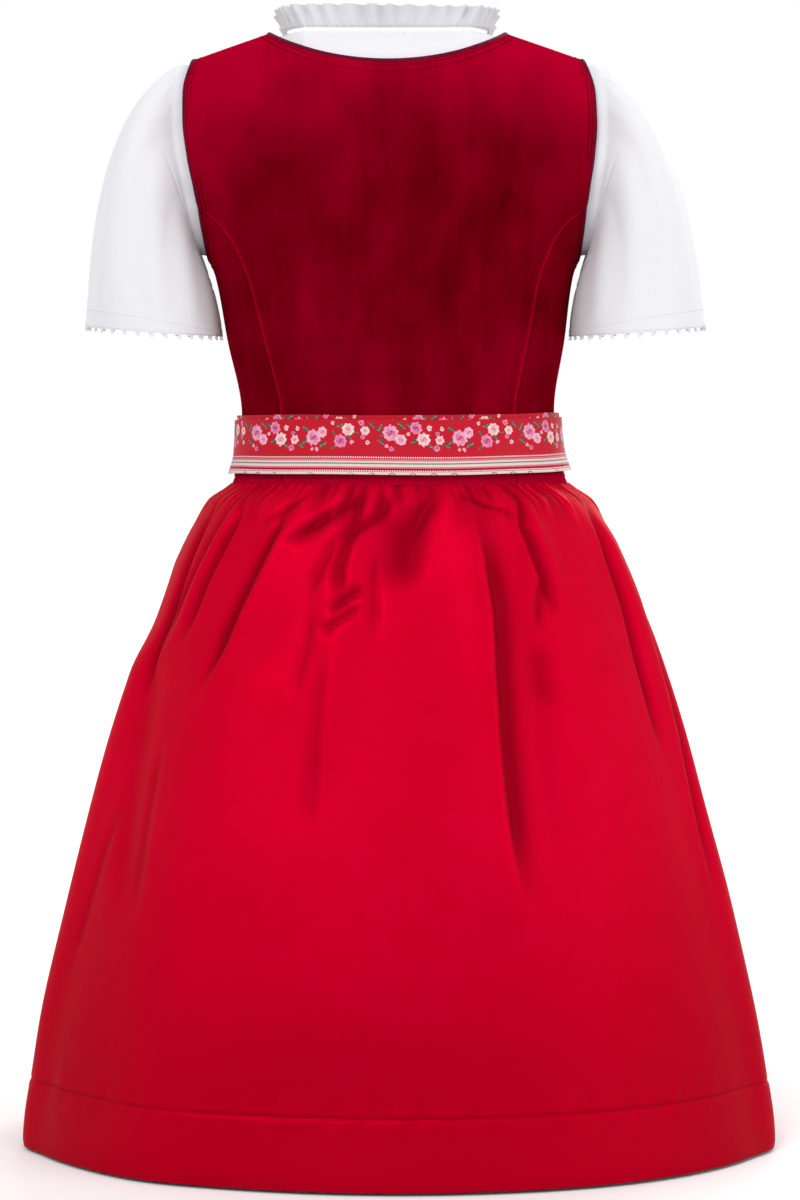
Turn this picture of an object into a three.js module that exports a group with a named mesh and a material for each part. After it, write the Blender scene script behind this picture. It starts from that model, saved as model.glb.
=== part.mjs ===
// A girl's dirndl set, filled out as worn and hollow: a velvet bodice with a gathered satin skirt, a short
// white blouse with a pleated collar and flared sleeves, and an apron whose wide ties cross over the back.
// Millimetres. Z is up, the front faces -Y, the wearer's left is +X, and the origin is the neck point height.
import * as THREE from "three";

// Walls and seams
const VELVET_WALL = 1.8;
const BINDING_WALL = 2.4;
const COTTON_WALL = 1.2;
const SATIN_WALL = 1.4;
const HEM_WALL = 2.4;
const TIE_WALL = 1.2;
const SEAM = 0.4;

// Heights
const WAIST = -322;
const HEM = -791;
const HEM_STITCH = -743;
const SKIRT_TOP = WAIST - SEAM;
const BLOUSE_HEM = -196;

// Necklines, shoulders and armholes
const NECK_HALF = 83;
const NECK_BACK_DROP = 26;
const NECK_FRONT_DROP = 92;
const BLOUSE_NECK_HALF = 76;
const BLOUSE_BACK_DROP = 1;
const BLOUSE_FRONT_DROP = 50;
const SHOULDER_SLOPE = 1 / 3;
const SHOULDER_CROWN = 60;
const SHOULDER_ROLL = 42;
const SHOULDER_TIP = 140;
const PRINCESS_TOP = -126;
const ARMHOLE_FLOOR = -160;
const BINDING_WIDTH = 3;
const LEAN = 9;
const SQUARENESS = 2.3;

// Sections through the bodice: the half width, and the depth behind and before the side seams
const TORSO = [
  { z: -322, half: 121, back: 84, front: 86 },
  { z: -314, half: 118, back: 82, front: 84 },
  { z: -300, half: 114, back: 80, front: 82 },
  { z: -270, half: 112, back: 79, front: 81 },
  { z: -217, half: 121, back: 81, front: 85 },
  { z: -174, half: 128, back: 84, front: 88 },
  { z: -160, half: 132.8, back: 85, front: 88.5 },
  { z: -145, half: 138, back: 86, front: 89 },
  { z: -126, half: 144.5, back: 87, front: 89 },
  { z: -90, half: 153.5, back: 87, front: 86 },
  { z: -45, half: 152.5, back: 84, front: 79 },
  { z: -22, half: 149, back: 80, front: 72 },
  { z: 30, half: 149, back: 76, front: 66 },
];

// The edge of the middle panels, from the centre line: the princess seam, and above it the armhole
const PANEL_EDGE = [
  { z: -322, x: 82 },
  { z: -268, x: 84 },
  { z: -239, x: 89.6 },
  { z: -209, x: 96.5 },
  { z: -181, x: 103 },
  { z: -158, x: 112 },
  { z: -141, x: 123 },
  { z: -126, x: 138 },
  { z: -110, x: 141 },
  { z: -90, x: 144.5 },
  { z: -66, x: 147 },
  { z: -45, x: 146.5 },
  { z: -19, x: 140 },
];

// Sections through the skirt
const SKIRT = [
  { z: -791, half: 271.5, back: 200, front: 200, square: 2.05 },
  { z: -743, half: 263.5, back: 193, front: 193, square: 2.05 },
  { z: -692, half: 255, back: 186, front: 186, square: 2.05 },
  { z: -620, half: 238, back: 173, front: 173, square: 2.05 },
  { z: -549, half: 220, back: 159, front: 159, square: 2.05 },
  { z: -477, half: 199, back: 143, front: 143, square: 2.08 },
  { z: -405, half: 173.5, back: 124, front: 124, square: 2.12 },
  { z: -369, half: 158, back: 112, front: 112, square: 2.18 },
  { z: -350, half: 148.5, back: 105, front: 105, square: 2.22 },
  { z: -333, half: 137.5, back: 96, front: 97, square: 2.26 },
  { z: -322, half: 121, back: 84, front: 86, square: 2.3 },
];

// The skirt's largest folds: degrees from the centre back at the top and foot of each, the heights between
// which it runs, how far it stands out or sinks in, and its half width. Wearer's left is positive.
const FOLDS = [
  { top: -20, foot: -18, from: -330, to: -640, height: 6, width: 15 },
  { top: -26, foot: -25, from: -335, to: -600, height: -4, width: 13 },
  { top: -35, foot: -40, from: -326, to: -420, height: 4, width: 10 },
  { top: -70, foot: -74, from: -330, to: -830, height: 7, width: 22 },
  { top: -88, foot: -92, from: -340, to: -830, height: -7, width: 24 },
  { top: -1, foot: 3, from: -326, to: -420, height: -4, width: 16 },
  { top: 12, foot: 15, from: -330, to: -540, height: 3, width: 11 },
  { top: 29, foot: 44, from: -332, to: -470, height: 4.5, width: 12 },
  { top: 38, foot: 40, from: -430, to: -830, height: 5, width: 40 },
  { top: 52, foot: 60, from: -324, to: -440, height: 4, width: 11 },
  { top: 66, foot: 52, from: -440, to: -640, height: -4, width: 16 },
  { top: 74, foot: 76, from: -420, to: -830, height: 7, width: 22 },
  { top: 90, foot: 92, from: -380, to: -830, height: -7, width: 24 },
  { top: 108, foot: 110, from: -340, to: -830, height: 6, width: 24 },
  { top: 128, foot: 124, from: -340, to: -700, height: -5, width: 18 },
  { top: 146, foot: 148, from: -340, to: -830, height: 5, width: 26 },
  { top: 168, foot: 170, from: -400, to: -830, height: -4, width: 26 },
  { top: 190, foot: 188, from: -340, to: -830, height: 5, width: 26 },
  { top: 212, foot: 210, from: -340, to: -720, height: -5, width: 20 },
  { top: 236, foot: 240, from: -340, to: -830, height: 6, width: 24 },
  { top: 254, foot: 252, from: -340, to: -640, height: -4, width: 16 },
];
const GATHERS = 40;
const GATHER_HEIGHT = 2;
const GATHER_LENGTH = 26;

// Collar, sleeves and lace
const PLEATS = 32;
const COLLAR_HEIGHT = 15;
const COLLAR_FLARE = 0.38;
const COLLAR_WAVE = 2.6;
const CUFF_HEIGHT = -205;
const CUFF_INNER = 124.5;
const CUFF_OUTER = 222;
const CUFF_DEPTH = 60;
const ARMHOLE_MIDDLE = -90;
const SLEEVE_STEP = 6.5;
const SLEEVE_ROOT = 0.125;
const PICOTS = 31;
const LACE_BAND = 4.6;
const LACE_GAP = 0.9;
const PICOT = 4;

// Apron, ties and buttons
const TIE_TOP = -272;
const TIE_FOOT = -315;
const TIE_PEEP = 3.2;
const TIE_GAP = 0.4;
const BAND_LIFT = 0.7 + TIE_WALL;
const TIE_INNER_LIFT = BAND_LIFT + TIE_GAP + TIE_WALL;
const TIE_OUTER_LIFT = TIE_INNER_LIFT + TIE_GAP + TIE_WALL;
const APRON_LIFT = 2.2;
const APRON_HALF_COLUMNS = 13;
const TIE_END_LENGTH = 250;
const TIE_END_HALF = 19;
const KNOT_HALF = 19;
const KNOT_DEPTH = 9;
const KNOT_HEIGHT = 21;
const BUTTON_RADIUS = 5.5;
const BUTTON_THICKNESS = 3;
const BUTTON_TOP = -114;
const BUTTON_PITCH = 28;
const BUTTON_COUNT = 6;

const degrees = THREE.MathUtils.degToRad;
const lerp = THREE.MathUtils.lerp;
const clamp = THREE.MathUtils.clamp;

const finish = (color, roughness) => new THREE.MeshStandardMaterial({ color, roughness, metalness: 0 });
const velvet = finish(0x7a0022, 0.9);
const piping = finish(0x4a0014, 0.8);
const satin = finish(0xc4001e, 0.35);
const cotton = finish(0xf0eff4, 0.85);
const flowered = finish(0xc03448, 0.5);
const horn = finish(0x5a1020, 0.4);

// A smooth curve through one column of a table, as a function of height, that never swings past its rows.
function curve(table, key) {
  const rows = [...table].sort((a, b) => a.z - b.z);
  const last = rows.length - 1;
  const slope = (i) => (rows[i + 1][key] - rows[i][key]) / (rows[i + 1].z - rows[i].z);
  const tangent = (i) => {
    if (i === 0) return slope(0);
    if (i === last) return slope(last - 1);
    const before = slope(i - 1);
    const after = slope(i);
    return before * after <= 0 ? 0 : (2 * before * after) / (before + after);
  };
  return (z) => {
    const at = clamp(z, rows[0].z, rows[last].z);
    const found = rows.findIndex((row) => row.z >= at);
    const i = Math.max(0, found - 1);
    const span = rows[i + 1].z - rows[i].z;
    const t = (at - rows[i].z) / span;
    const rise = t * t * (3 - 2 * t);
    const bend = t * (1 - t) * span;
    return lerp(rows[i][key], rows[i + 1][key], rise) + bend * ((1 - t) * tangent(i) - t * tangent(i + 1));
  };
}

const torsoHalf = curve(TORSO, "half");
const torsoBack = curve(TORSO, "back");
const torsoFront = curve(TORSO, "front");
const panelEdge = curve(PANEL_EDGE, "x");
const skirtHalf = curve(SKIRT, "half");
const skirtBack = curve(SKIRT, "back");
const skirtFront = curve(SKIRT, "front");
const skirtSquare = curve(SKIRT, "square");

const signedPower = (value, power) => Math.sign(value) * Math.abs(value) ** power;
const smoothstep = (low, high, value) => THREE.MathUtils.smoothstep(value, low, high);

// The shoulder line's height over a point this far from the centre.
const shoulder = (x) => (NECK_HALF - Math.max(Math.abs(x), SHOULDER_CROWN)) * SHOULDER_SLOPE;

// How much of its depth a section keeps near the shoulder line, where the cloth rolls over to the seam.
function shoulderRoll(x, z) {
  const drop = clamp((shoulder(x) - z) / SHOULDER_ROLL, 0, 1);
  return Math.sqrt(1 - (1 - drop) ** 2);
}

// A point of the bodice's form. The angle is 0 at the centre back, 90 degrees at the wearer's left side.
function torso(angle, z) {
  const x = torsoHalf(z) * signedPower(Math.sin(angle), 2 / SQUARENESS);
  const depth = Math.cos(angle) >= 0 ? torsoBack(z) : torsoFront(z);
  const roll = shoulderRoll(x, z);
  const parting = Math.sign(Math.cos(angle)) * (SEAM / 2) * (1 - roll);
  return new THREE.Vector3(x, depth * signedPower(Math.cos(angle), 2 / SQUARENESS) * roll + parting, z);
}

// The angle of the back half at which the bodice's form is this far from the centre line.
const angleAt = (x, z) => Math.asin(Math.min(1, (x / torsoHalf(z)) ** (SQUARENESS / 2)));

// The skirt's form: an oval ring with small gathers at its top and the folds of the table.
function skirt(angle, z) {
  const power = 2 / skirtSquare(z);
  const side = Math.sin(angle);
  const back = Math.cos(angle);
  const half = skirtHalf(z);
  const depth = back >= 0 ? skirtBack(z) : skirtFront(z);
  const point = new THREE.Vector3(half * signedPower(side, power), depth * signedPower(back, power), z);
  const outward = new THREE.Vector3(point.x / half ** 2, point.y / depth ** 2, 0).normalize();
  const radius = Math.hypot(point.x, point.y);
  const below = SKIRT_TOP - z;
  const swell = 0.3 + 0.7 * smoothstep(0, 10, below);
  let out = GATHER_HEIGHT * swell * Math.exp(-((below / GATHER_LENGTH) ** 2)) * Math.cos(GATHERS * angle);
  for (const fold of FOLDS) {
    const along = clamp((fold.from - z) / (fold.from - fold.to), 0, 1);
    const turn = angle - degrees(lerp(fold.top, fold.foot, along));
    const nearest = Math.atan2(Math.sin(turn), Math.cos(turn)) * radius;
    const ends = smoothstep(0, 40, fold.from - z + 6) * (1 - smoothstep(-70, 0, fold.to - z));
    out += fold.height * ends * Math.exp(-((nearest / fold.width) ** 2));
  }
  return point.addScaledVector(outward, out);
}

const gown = (angle, z) => (z > WAIST ? torso(angle, z) : skirt(angle, z));

// The body leans a little to the wearer's left towards the shoulders.
const lean = (z) => LEAN * clamp(1 - z / WAIST, 0, 1.1);

// A closed wall of cloth. surface(u, v) gives its face before the lift, with u and v from 0 to 1; v = 0 is the
// first row. The wall lies under that face; from the row deepFrom on it is deep instead.
function wall(name, material, surface, options) {
  const { columns, rows, thickness, lift = 0, side = 1, round = false } = options;
  const { deepFrom = rows + 1, deep = 0 } = options;
  const small = 1e-4;
  const length = round ? columns : columns + 1;
  const vertices = [];
  const at = (u, v) => surface(round ? (u + 1) % 1 : clamp(u, 0, 1), clamp(v, 0, 1));
  for (let row = 0; row <= rows; row++) {
    const v = row / rows;
    for (let column = 0; column < length; column++) {
      const u = column / columns;
      const along = at(u + small, v).sub(at(u - small, v));
      const down = at(u, v + small).sub(at(u, v - small));
      const normal = along.cross(down).normalize().multiplyScalar(side);
      const outside = at(u, v).addScaledVector(normal, lift);
      const inside = outside.clone().addScaledVector(normal, row < deepFrom ? -thickness : -deep);
      for (const point of [outside, inside]) vertices.push(point.x + lean(point.z), point.y, point.z);
    }
  }
  const index = [];
  const quad = (a, b, c, d) => index.push(a, b, c, a, c, d);
  const vertex = (row, column, under) => 2 * (row * length + (column % length)) + under;
  for (let row = 0; row < rows; row++) {
    for (let column = 0; column < columns; column++) {
      const corner = (down, along, under) => vertex(row + down, column + along, under);
      quad(corner(0, 0, 0), corner(1, 0, 0), corner(1, 1, 0), corner(0, 1, 0));
      quad(corner(0, 0, 1), corner(0, 1, 1), corner(1, 1, 1), corner(1, 0, 1));
    }
  }
  const rim = (a, b) => quad(vertex(...a, 0), vertex(...b, 0), vertex(...b, 1), vertex(...a, 1));
  for (let column = 0; column < columns; column++) {
    rim([0, column], [0, column + 1]);
    rim([rows, column + 1], [rows, column]);
  }
  for (let row = 0; row < rows && !round; row++) {
    rim([row + 1, 0], [row, 0]);
    rim([row, columns], [row + 1, columns]);
  }
  return solid(name, material, vertices, index);
}

// A mesh of these vertices, its triangles turned so that they face out.
function solid(name, material, vertices, index) {
  let volume = 0;
  const corner = (i) => new THREE.Vector3().fromArray(vertices, 3 * i);
  for (let i = 0; i < index.length; i += 3) {
    volume += corner(index[i]).dot(corner(index[i + 1]).cross(corner(index[i + 2])));
  }
  const geometry = new THREE.BufferGeometry();
  geometry.setAttribute("position", new THREE.Float32BufferAttribute(vertices, 3));
  geometry.setIndex(volume > 0 ? index : [...index].reverse());
  geometry.computeVertexNormals();
  const mesh = new THREE.Mesh(geometry, material);
  mesh.name = name;
  return mesh;
}

// The same surface on the wearer's right.
const mirrored = (surface) => (u, v) => {
  const point = surface(1 - u, v);
  point.x = -point.x;
  return point;
};

// The height of a neckline at this distance from the centre line; past the neck point, the shoulder line.
function neckline(x, half, drop) {
  const across = clamp(Math.abs(x) / half, 0, 1);
  return Math.abs(x) > half ? shoulder(x) : shoulder(half) - drop * (1 - across ** 2) ** 0.7;
}

const CUT_BACK = BINDING_WIDTH + 2.2 * SEAM;

// Place v along a list of heights, first to last.
function heightAt(heights, v) {
  const place = v * (heights.length - 1);
  const row = Math.min(Math.floor(place), heights.length - 2);
  return lerp(heights[row], heights[row + 1], place - row);
}

// Bodice panels. A row is named by its height at the panel's armhole edge or princess seam, and the first rows
// are close together where the cloth rolls over the shoulder.
const ROLL_ROWS = [-20, -21.3, -25.6, -34.2, -46.6, -62, -80, -102, PRINCESS_TOP];
const MIDDLE_ROWS = [...ROLL_ROWS, -130, -143, -160, -190, -228, -268, -298, -313, WAIST];
const NECK_COLUMNS = 8;
const SHOULDER_COLUMNS = 2;
const HALF_COLUMNS = NECK_COLUMNS + SHOULDER_COLUMNS;

// The turn round a quarter of a neckline, as a share of it: steps grow shorter towards the neck point.
const neckTurn = (share) => 1 - (1 - share) ** 1.5;

// Columns follow those turns round the neckline and equal steps along the shoulder. s is 0 on the centre line
// and 1 at the panel's edge; the share is that of the way to the edge.
function columnShare(s, neckHalf, tip) {
  const neck = NECK_COLUMNS / HALF_COLUMNS;
  if (s < neck) return (neckHalf / tip) * Math.sin((Math.PI / 2) * neckTurn(s / neck));
  return lerp(neckHalf / tip, 1, (s - neck) / (1 - neck));
}

function middleEdge(z) {
  const bound = clamp((z - (PRINCESS_TOP - CUT_BACK - SEAM)) / CUT_BACK, 0, 1);
  return panelEdge(z) - lerp(SEAM / 2, CUT_BACK, bound);
}

// A point of a middle panel: s runs from the centre line to the panel's edge, and v down its rows.
function middlePanel(s, v, drop, start) {
  const height = heightAt(MIDDLE_ROWS, v);
  const tip = middleEdge(MIDDLE_ROWS[0]);
  const share = columnShare(s, NECK_HALF + CUT_BACK, tip);
  const top = neckline(lerp(start, tip, share), NECK_HALF + CUT_BACK, drop + CUT_BACK);
  const z = WAIST + ((height - WAIST) * (top - WAIST)) / (MIDDLE_ROWS[0] - WAIST);
  return { x: lerp(start, middleEdge(height), share), z };
}

function backPanel(u, v) {
  const s = 2 * u - 1;
  const { x, z } = middlePanel(Math.abs(s), v, NECK_BACK_DROP, 0);
  return torso(Math.sign(s) * angleAt(x, z), z);
}

function frontPanel(u, v) {
  const { x, z } = middlePanel(1 - u, v, NECK_FRONT_DROP, SEAM / 2);
  return torso(Math.PI - angleAt(x, z), z);
}

// Side panel, from the back princess seam round under the arm to the front one.
const SIDE_TOP = PRINCESS_TOP - CUT_BACK - SEAM;

// The armhole's lower arc, set back from its edge.
function armholeFloor(angle, setBack) {
  const start = angleAt(panelEdge(PRINCESS_TOP) - setBack, PRINCESS_TOP);
  const away = Math.abs(angle - Math.PI / 2) / (Math.PI / 2 - start);
  const floor = ARMHOLE_FLOOR - setBack;
  return floor + (PRINCESS_TOP - floor) * clamp(away, 0, 1) ** 2;
}

function sidePanel(u, v) {
  const height = lerp(SIDE_TOP, WAIST, v);
  const seam = angleAt(panelEdge(height) + SEAM / 2, height);
  const angle = lerp(seam, Math.PI - seam, u);
  const topSeam = angleAt(panelEdge(SIDE_TOP) + SEAM / 2, SIDE_TOP);
  const top = Math.min(SIDE_TOP, armholeFloor(lerp(topSeam, Math.PI - topSeam, u), CUT_BACK));
  return torso(angle, WAIST + ((height - WAIST) * (top - WAIST)) / (SIDE_TOP - WAIST));
}

// Bindings: a point of the neckline or armhole edge, moved into the panel by part of the binding's width.
function neckEdge(turn, setBack, half, backDrop, frontDrop) {
  const reach = half + setBack;
  const across = reach * Math.sin(turn);
  const drop = Math.cos(turn) >= 0 ? backDrop : frontDrop;
  const z = neckline(Math.abs(across) * 0.99999, reach, drop + setBack);
  const angle = angleAt(Math.abs(across), z);
  return torso(Math.cos(turn) >= 0 ? Math.sign(across) * angle : Math.PI - Math.sign(across) * angle, z);
}

const ARMHOLE_UPPER = ROLL_ROWS.length - 1;
const ARMHOLE_LOWER = 10;
const ARMHOLE_COLUMNS = 2 * ARMHOLE_UPPER + ARMHOLE_LOWER;

// Once round an armhole on the wearer's left: down its back edge, under the arm and up its front edge.
function armholeEdge(turn, setBack) {
  const place = Math.min(turn, 1 - turn) * ARMHOLE_COLUMNS;
  const back = turn <= 0.5;
  const towardsFront = (angle) => (back ? angle : Math.PI - angle);
  if (place > ARMHOLE_UPPER) {
    const start = angleAt(panelEdge(PRINCESS_TOP) - setBack, PRINCESS_TOP);
    const angle = lerp(start, Math.PI / 2, (place - ARMHOLE_UPPER) / (ARMHOLE_LOWER / 2));
    return torso(towardsFront(angle), armholeFloor(angle, setBack));
  }
  const height = heightAt(ROLL_ROWS, place / ARMHOLE_UPPER);
  const tip = panelEdge(ROLL_ROWS[0]) - setBack;
  const top = ROLL_ROWS[0];
  const z = PRINCESS_TOP + ((height - PRINCESS_TOP) * (shoulder(tip) - PRINCESS_TOP)) / (top - PRINCESS_TOP);
  return torso(towardsFront(angleAt(panelEdge(height) - setBack, z)), z);
}

function neckBinding(u, v) {
  const quarter = Math.floor(4 * u);
  const share = 4 * u - quarter;
  const turn = quarter + (quarter % 2 ? 1 - neckTurn(1 - share) : neckTurn(share));
  return neckEdge((turn * Math.PI) / 2, BINDING_WIDTH * v, NECK_HALF, NECK_BACK_DROP, NECK_FRONT_DROP);
}
const armholeBinding = (u, v) => armholeEdge(u, BINDING_WIDTH * v);

function bodice() {
  const middle = { thickness: VELVET_WALL, rows: MIDDLE_ROWS.length - 1 };
  const back = { ...middle, columns: 2 * HALF_COLUMNS };
  const front = { ...middle, columns: HALF_COLUMNS };
  const flank = { thickness: VELVET_WALL, rows: 8, columns: ARMHOLE_LOWER };
  const binding = { thickness: BINDING_WALL, lift: 0.3, round: true, rows: 1 };
  const neck = { ...binding, columns: 4 * NECK_COLUMNS };
  const armhole = { ...binding, columns: ARMHOLE_COLUMNS, side: -1 };
  return [
    wall("bodice_back", velvet, backPanel, back),
    wall("bodice_front_left", velvet, frontPanel, front),
    wall("bodice_front_right", velvet, mirrored(frontPanel), front),
    wall("bodice_side_left", velvet, sidePanel, flank),
    wall("bodice_side_right", velvet, mirrored(sidePanel), flank),
    wall("neck_binding", piping, neckBinding, neck),
    wall("armhole_binding_left", piping, armholeBinding, armhole),
    wall("armhole_binding_right", piping, mirrored(armholeBinding), armhole),
  ];
}

// Blouse body, under the bodice. Its rows are named by their height at the armhole edge or side seam.
const BLOUSE_LIFT = -(VELVET_WALL + 2.2);
const BLOUSE_ROWS = [...ROLL_ROWS, -145, -160.6, BLOUSE_HEM];

function blouseEdge(z) {
  if (z < ARMHOLE_FLOOR) return Math.PI / 2;
  if (z < PRINCESS_TOP) {
    const start = angleAt(panelEdge(PRINCESS_TOP), PRINCESS_TOP);
    const away = Math.sqrt((z - ARMHOLE_FLOOR) / (PRINCESS_TOP - ARMHOLE_FLOOR));
    return lerp(Math.PI / 2, start, away);
  }
  return angleAt(panelEdge(z), z);
}

// The share of a section's half width that the blouse's panels reach, short of the seam or the sleeve.
const blouseReach = (z) => Math.sin(blouseEdge(z) - SEAM / torsoHalf(z)) ** (2 / SQUARENESS);

function blousePanel(u, v, drop, flip) {
  const s = 2 * u - 1;
  const height = heightAt(BLOUSE_ROWS, v);
  const tip = torsoHalf(0) * blouseReach(BLOUSE_ROWS[0]);
  const share = columnShare(Math.abs(s), BLOUSE_NECK_HALF, tip);
  const top = neckline(share * tip, BLOUSE_NECK_HALF, drop);
  const z = BLOUSE_HEM + ((height - BLOUSE_HEM) * (top - BLOUSE_HEM)) / (BLOUSE_ROWS[0] - BLOUSE_HEM);
  const angle = Math.sign(s) * Math.asin((share * blouseReach(height)) ** (SQUARENESS / 2));
  return torso(flip ? Math.PI + angle : angle, z);
}

// The collar stands on the blouse's neckline, opens outwards and is set in even pleats.
function collar(u, v) {
  const turn = 2 * Math.PI * u;
  const base = neckEdge(turn, 0, BLOUSE_NECK_HALF - 1.4, BLOUSE_BACK_DROP, BLOUSE_FRONT_DROP);
  const outward = new THREE.Vector3(base.x, base.y, 0).normalize();
  const rise = COLLAR_HEIGHT * v;
  const wave = COLLAR_WAVE * (0.15 + 0.85 * v) * Math.cos(PLEATS * turn);
  base.z += BLOUSE_LIFT + 2.2 + rise;
  return base.addScaledVector(outward, rise * COLLAR_FLARE + wave - 2);
}

// Sleeve on the wearer's left: from the armhole, out over the arm, and down to the open cuff.
function cuffPoint(turn) {
  const middle = (CUFF_INNER + CUFF_OUTER) / 2;
  const half = (CUFF_OUTER - CUFF_INNER) / 2;
  const soft = 1 + 0.018 * Math.cos(6 * turn + 0.6);
  return new THREE.Vector3(
    middle + half * Math.cos(turn) * (Math.cos(turn) < 0 ? 1 : soft),
    CUFF_DEPTH * Math.sin(turn) * soft,
    CUFF_HEIGHT,
  );
}

// The sleeve's seam lies beside the edge of the blouse's body, under the bodice's armhole.
function sleeveSeam(u) {
  const small = 1e-4;
  const seam = armholeEdge(u, -0.1);
  const round = armholeEdge((u + small) % 1, -0.1).sub(armholeEdge((u + 1 - small) % 1, -0.1));
  const inPanel = armholeEdge(u, 0.2).sub(seam);
  const outward = inPanel.cross(round).normalize();
  return seam.addScaledVector(outward, BLOUSE_LIFT);
}

function sleeve(u, v) {
  const turn = 2 * Math.PI * u;
  const root = armholeEdge(u, -0.8);
  const inward = new THREE.Vector3(0, root.y, root.z - ARMHOLE_MIDDLE).normalize().multiplyScalar(-2.2);
  root.add(inward);
  root.x += SLEEVE_STEP;
  if (v <= SLEEVE_ROOT) return sleeveSeam(u).lerp(root, v / SLEEVE_ROOT);
  const cuff = cuffPoint(turn);
  const t = (v - SLEEVE_ROOT) / (1 - SLEEVE_ROOT);
  const over = 0.5 + 0.5 * Math.cos(turn);
  const bend = new THREE.Vector3(
    lerp(root.x + 3, 213, over),
    lerp(root.y, cuff.y, 0.75),
    lerp(lerp(root.z, CUFF_HEIGHT, 0.35), -52, over),
  );
  const ease = (1 - t) ** 2;
  const point = root.multiplyScalar(ease);
  point.addScaledVector(bend, 2 * t * (1 - t)).addScaledVector(cuff, t * t);
  return point;
}

// Picot lace: a narrow band under the cuff that ends in pointed loops.
function lace(u, v) {
  const point = cuffPoint(2 * Math.PI * u);
  const step = u * PICOTS * 2;
  const peak = Math.abs(step - 2 * Math.round(step / 2));
  point.z -= LACE_GAP + v * (LACE_BAND + PICOT * (1 - peak));
  return point;
}

function blouse() {
  const cut = { thickness: COTTON_WALL, lift: BLOUSE_LIFT };
  const body = { ...cut, rows: BLOUSE_ROWS.length - 1, columns: 2 * HALF_COLUMNS };
  const back = (u, v) => blousePanel(u, v, BLOUSE_BACK_DROP, false);
  const front = (u, v) => blousePanel(u, v, BLOUSE_FRONT_DROP, true);
  const frill = { thickness: 1, round: true, side: -1, rows: 1 };
  const arm = { thickness: COTTON_WALL, round: true, side: -1, rows: 8, columns: ARMHOLE_COLUMNS };
  return [
    wall("blouse_back", cotton, back, body),
    wall("blouse_front", cotton, front, body),
    wall("collar_ruffle", cotton, collar, { ...frill, columns: PLEATS * 4 }),
    wall("sleeve_left", cotton, sleeve, arm),
    wall("sleeve_right", cotton, mirrored(sleeve), arm),
    wall("lace_left", cotton, lace, { ...frill, columns: PICOTS * 2 }),
    wall("lace_right", cotton, mirrored(lace), { ...frill, columns: PICOTS * 2 }),
  ];
}

// Skirt and apron share their rows and columns, so that the apron lies on the skirt. A gather is two columns.
const SKIRT_ROWS = [SKIRT_TOP, -331, -344, -364, -398, -440, -500, -570, -655, HEM_STITCH, HEM];
const SKIRT_COLUMNS = GATHERS;

function skirtPanel(middle) {
  return (u, v) => {
    const z = heightAt(SKIRT_ROWS, v);
    const half = Math.PI / 2 - SEAM / 2 / skirtHalf(z);
    return skirt(middle + half * (2 * u - 1), z);
  };
}

const APRON_ROWS = [TIE_FOOT - TIE_PEEP / 2 - SEAM, ...SKIRT_ROWS.slice(0, -1)];

function apronPanel(u, v) {
  const half = (Math.PI * APRON_HALF_COLUMNS) / SKIRT_COLUMNS;
  return gown(Math.PI + half * (2 * u - 1), heightAt(APRON_ROWS, v));
}

// A band round the waist between two angles.
function band(from, to, top, foot) {
  return (u, v) => torso(lerp(degrees(from), degrees(to), u), lerp(top, foot, v));
}

// A free tie end, hanging from the knot over the apron and turning outwards a little.
function tieEnd(hand) {
  return (u, v) => {
    const z = TIE_FOOT - SEAM - TIE_END_LENGTH * v;
    const across = hand * (21 + 26 * v) + TIE_END_HALF * (1 - 2 * u);
    const point = gown(Math.PI - Math.asin(across / skirtHalf(Math.min(z, -340))), z);
    point.y -= 3 * Math.sin(Math.PI * v) + 4.5 * (1 - v) ** 6;
    return point;
  };
}

function gownBelow() {
  const hem = SKIRT_ROWS.length - 1;
  const cloth = { columns: SKIRT_COLUMNS, rows: hem, thickness: SATIN_WALL, deepFrom: hem, deep: HEM_WALL };
  const apron = {
    columns: 2 * APRON_HALF_COLUMNS,
    rows: APRON_ROWS.length - 1,
    thickness: COTTON_WALL,
    lift: APRON_LIFT,
  };
  const tie = { thickness: TIE_WALL, columns: 44, rows: 2 };
  const end = { thickness: TIE_WALL, lift: 8.5, columns: 3, rows: 8 };
  const inner = band(110, -179.4, TIE_TOP + TIE_PEEP, TIE_FOOT - TIE_PEEP / 2);
  const outer = band(-110, 179.4, TIE_TOP, TIE_FOOT);
  const waistband = band(97, 263, TIE_TOP, TIE_FOOT - TIE_PEEP / 2);
  return [
    wall("skirt_back", satin, skirtPanel(0), cloth),
    wall("skirt_front", satin, skirtPanel(Math.PI), cloth),
    wall("apron_panel", satin, apronPanel, apron),
    wall("apron_waistband", flowered, waistband, { ...tie, lift: BAND_LIFT, columns: 26 }),
    wall("tie_inner", flowered, inner, { ...tie, lift: TIE_INNER_LIFT, side: -1 }),
    wall("tie_outer", flowered, outer, { ...tie, lift: TIE_OUTER_LIFT }),
    wall("tie_end_left", flowered, tieEnd(1), end),
    wall("tie_end_right", flowered, tieEnd(-1), end),
  ];
}

function knot() {
  const geometry = new THREE.SphereGeometry(1, 14, 8);
  geometry.rotateX(Math.PI / 2);
  geometry.scale(KNOT_HALF, KNOT_DEPTH, KNOT_HEIGHT);
  const mesh = new THREE.Mesh(geometry, flowered);
  mesh.name = "tie_knot";
  const height = (TIE_TOP + TIE_FOOT) / 2;
  mesh.position.set(lean(height), -(torsoFront(height) + TIE_OUTER_LIFT + KNOT_DEPTH + SEAM), height);
  return mesh;
}

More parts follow.
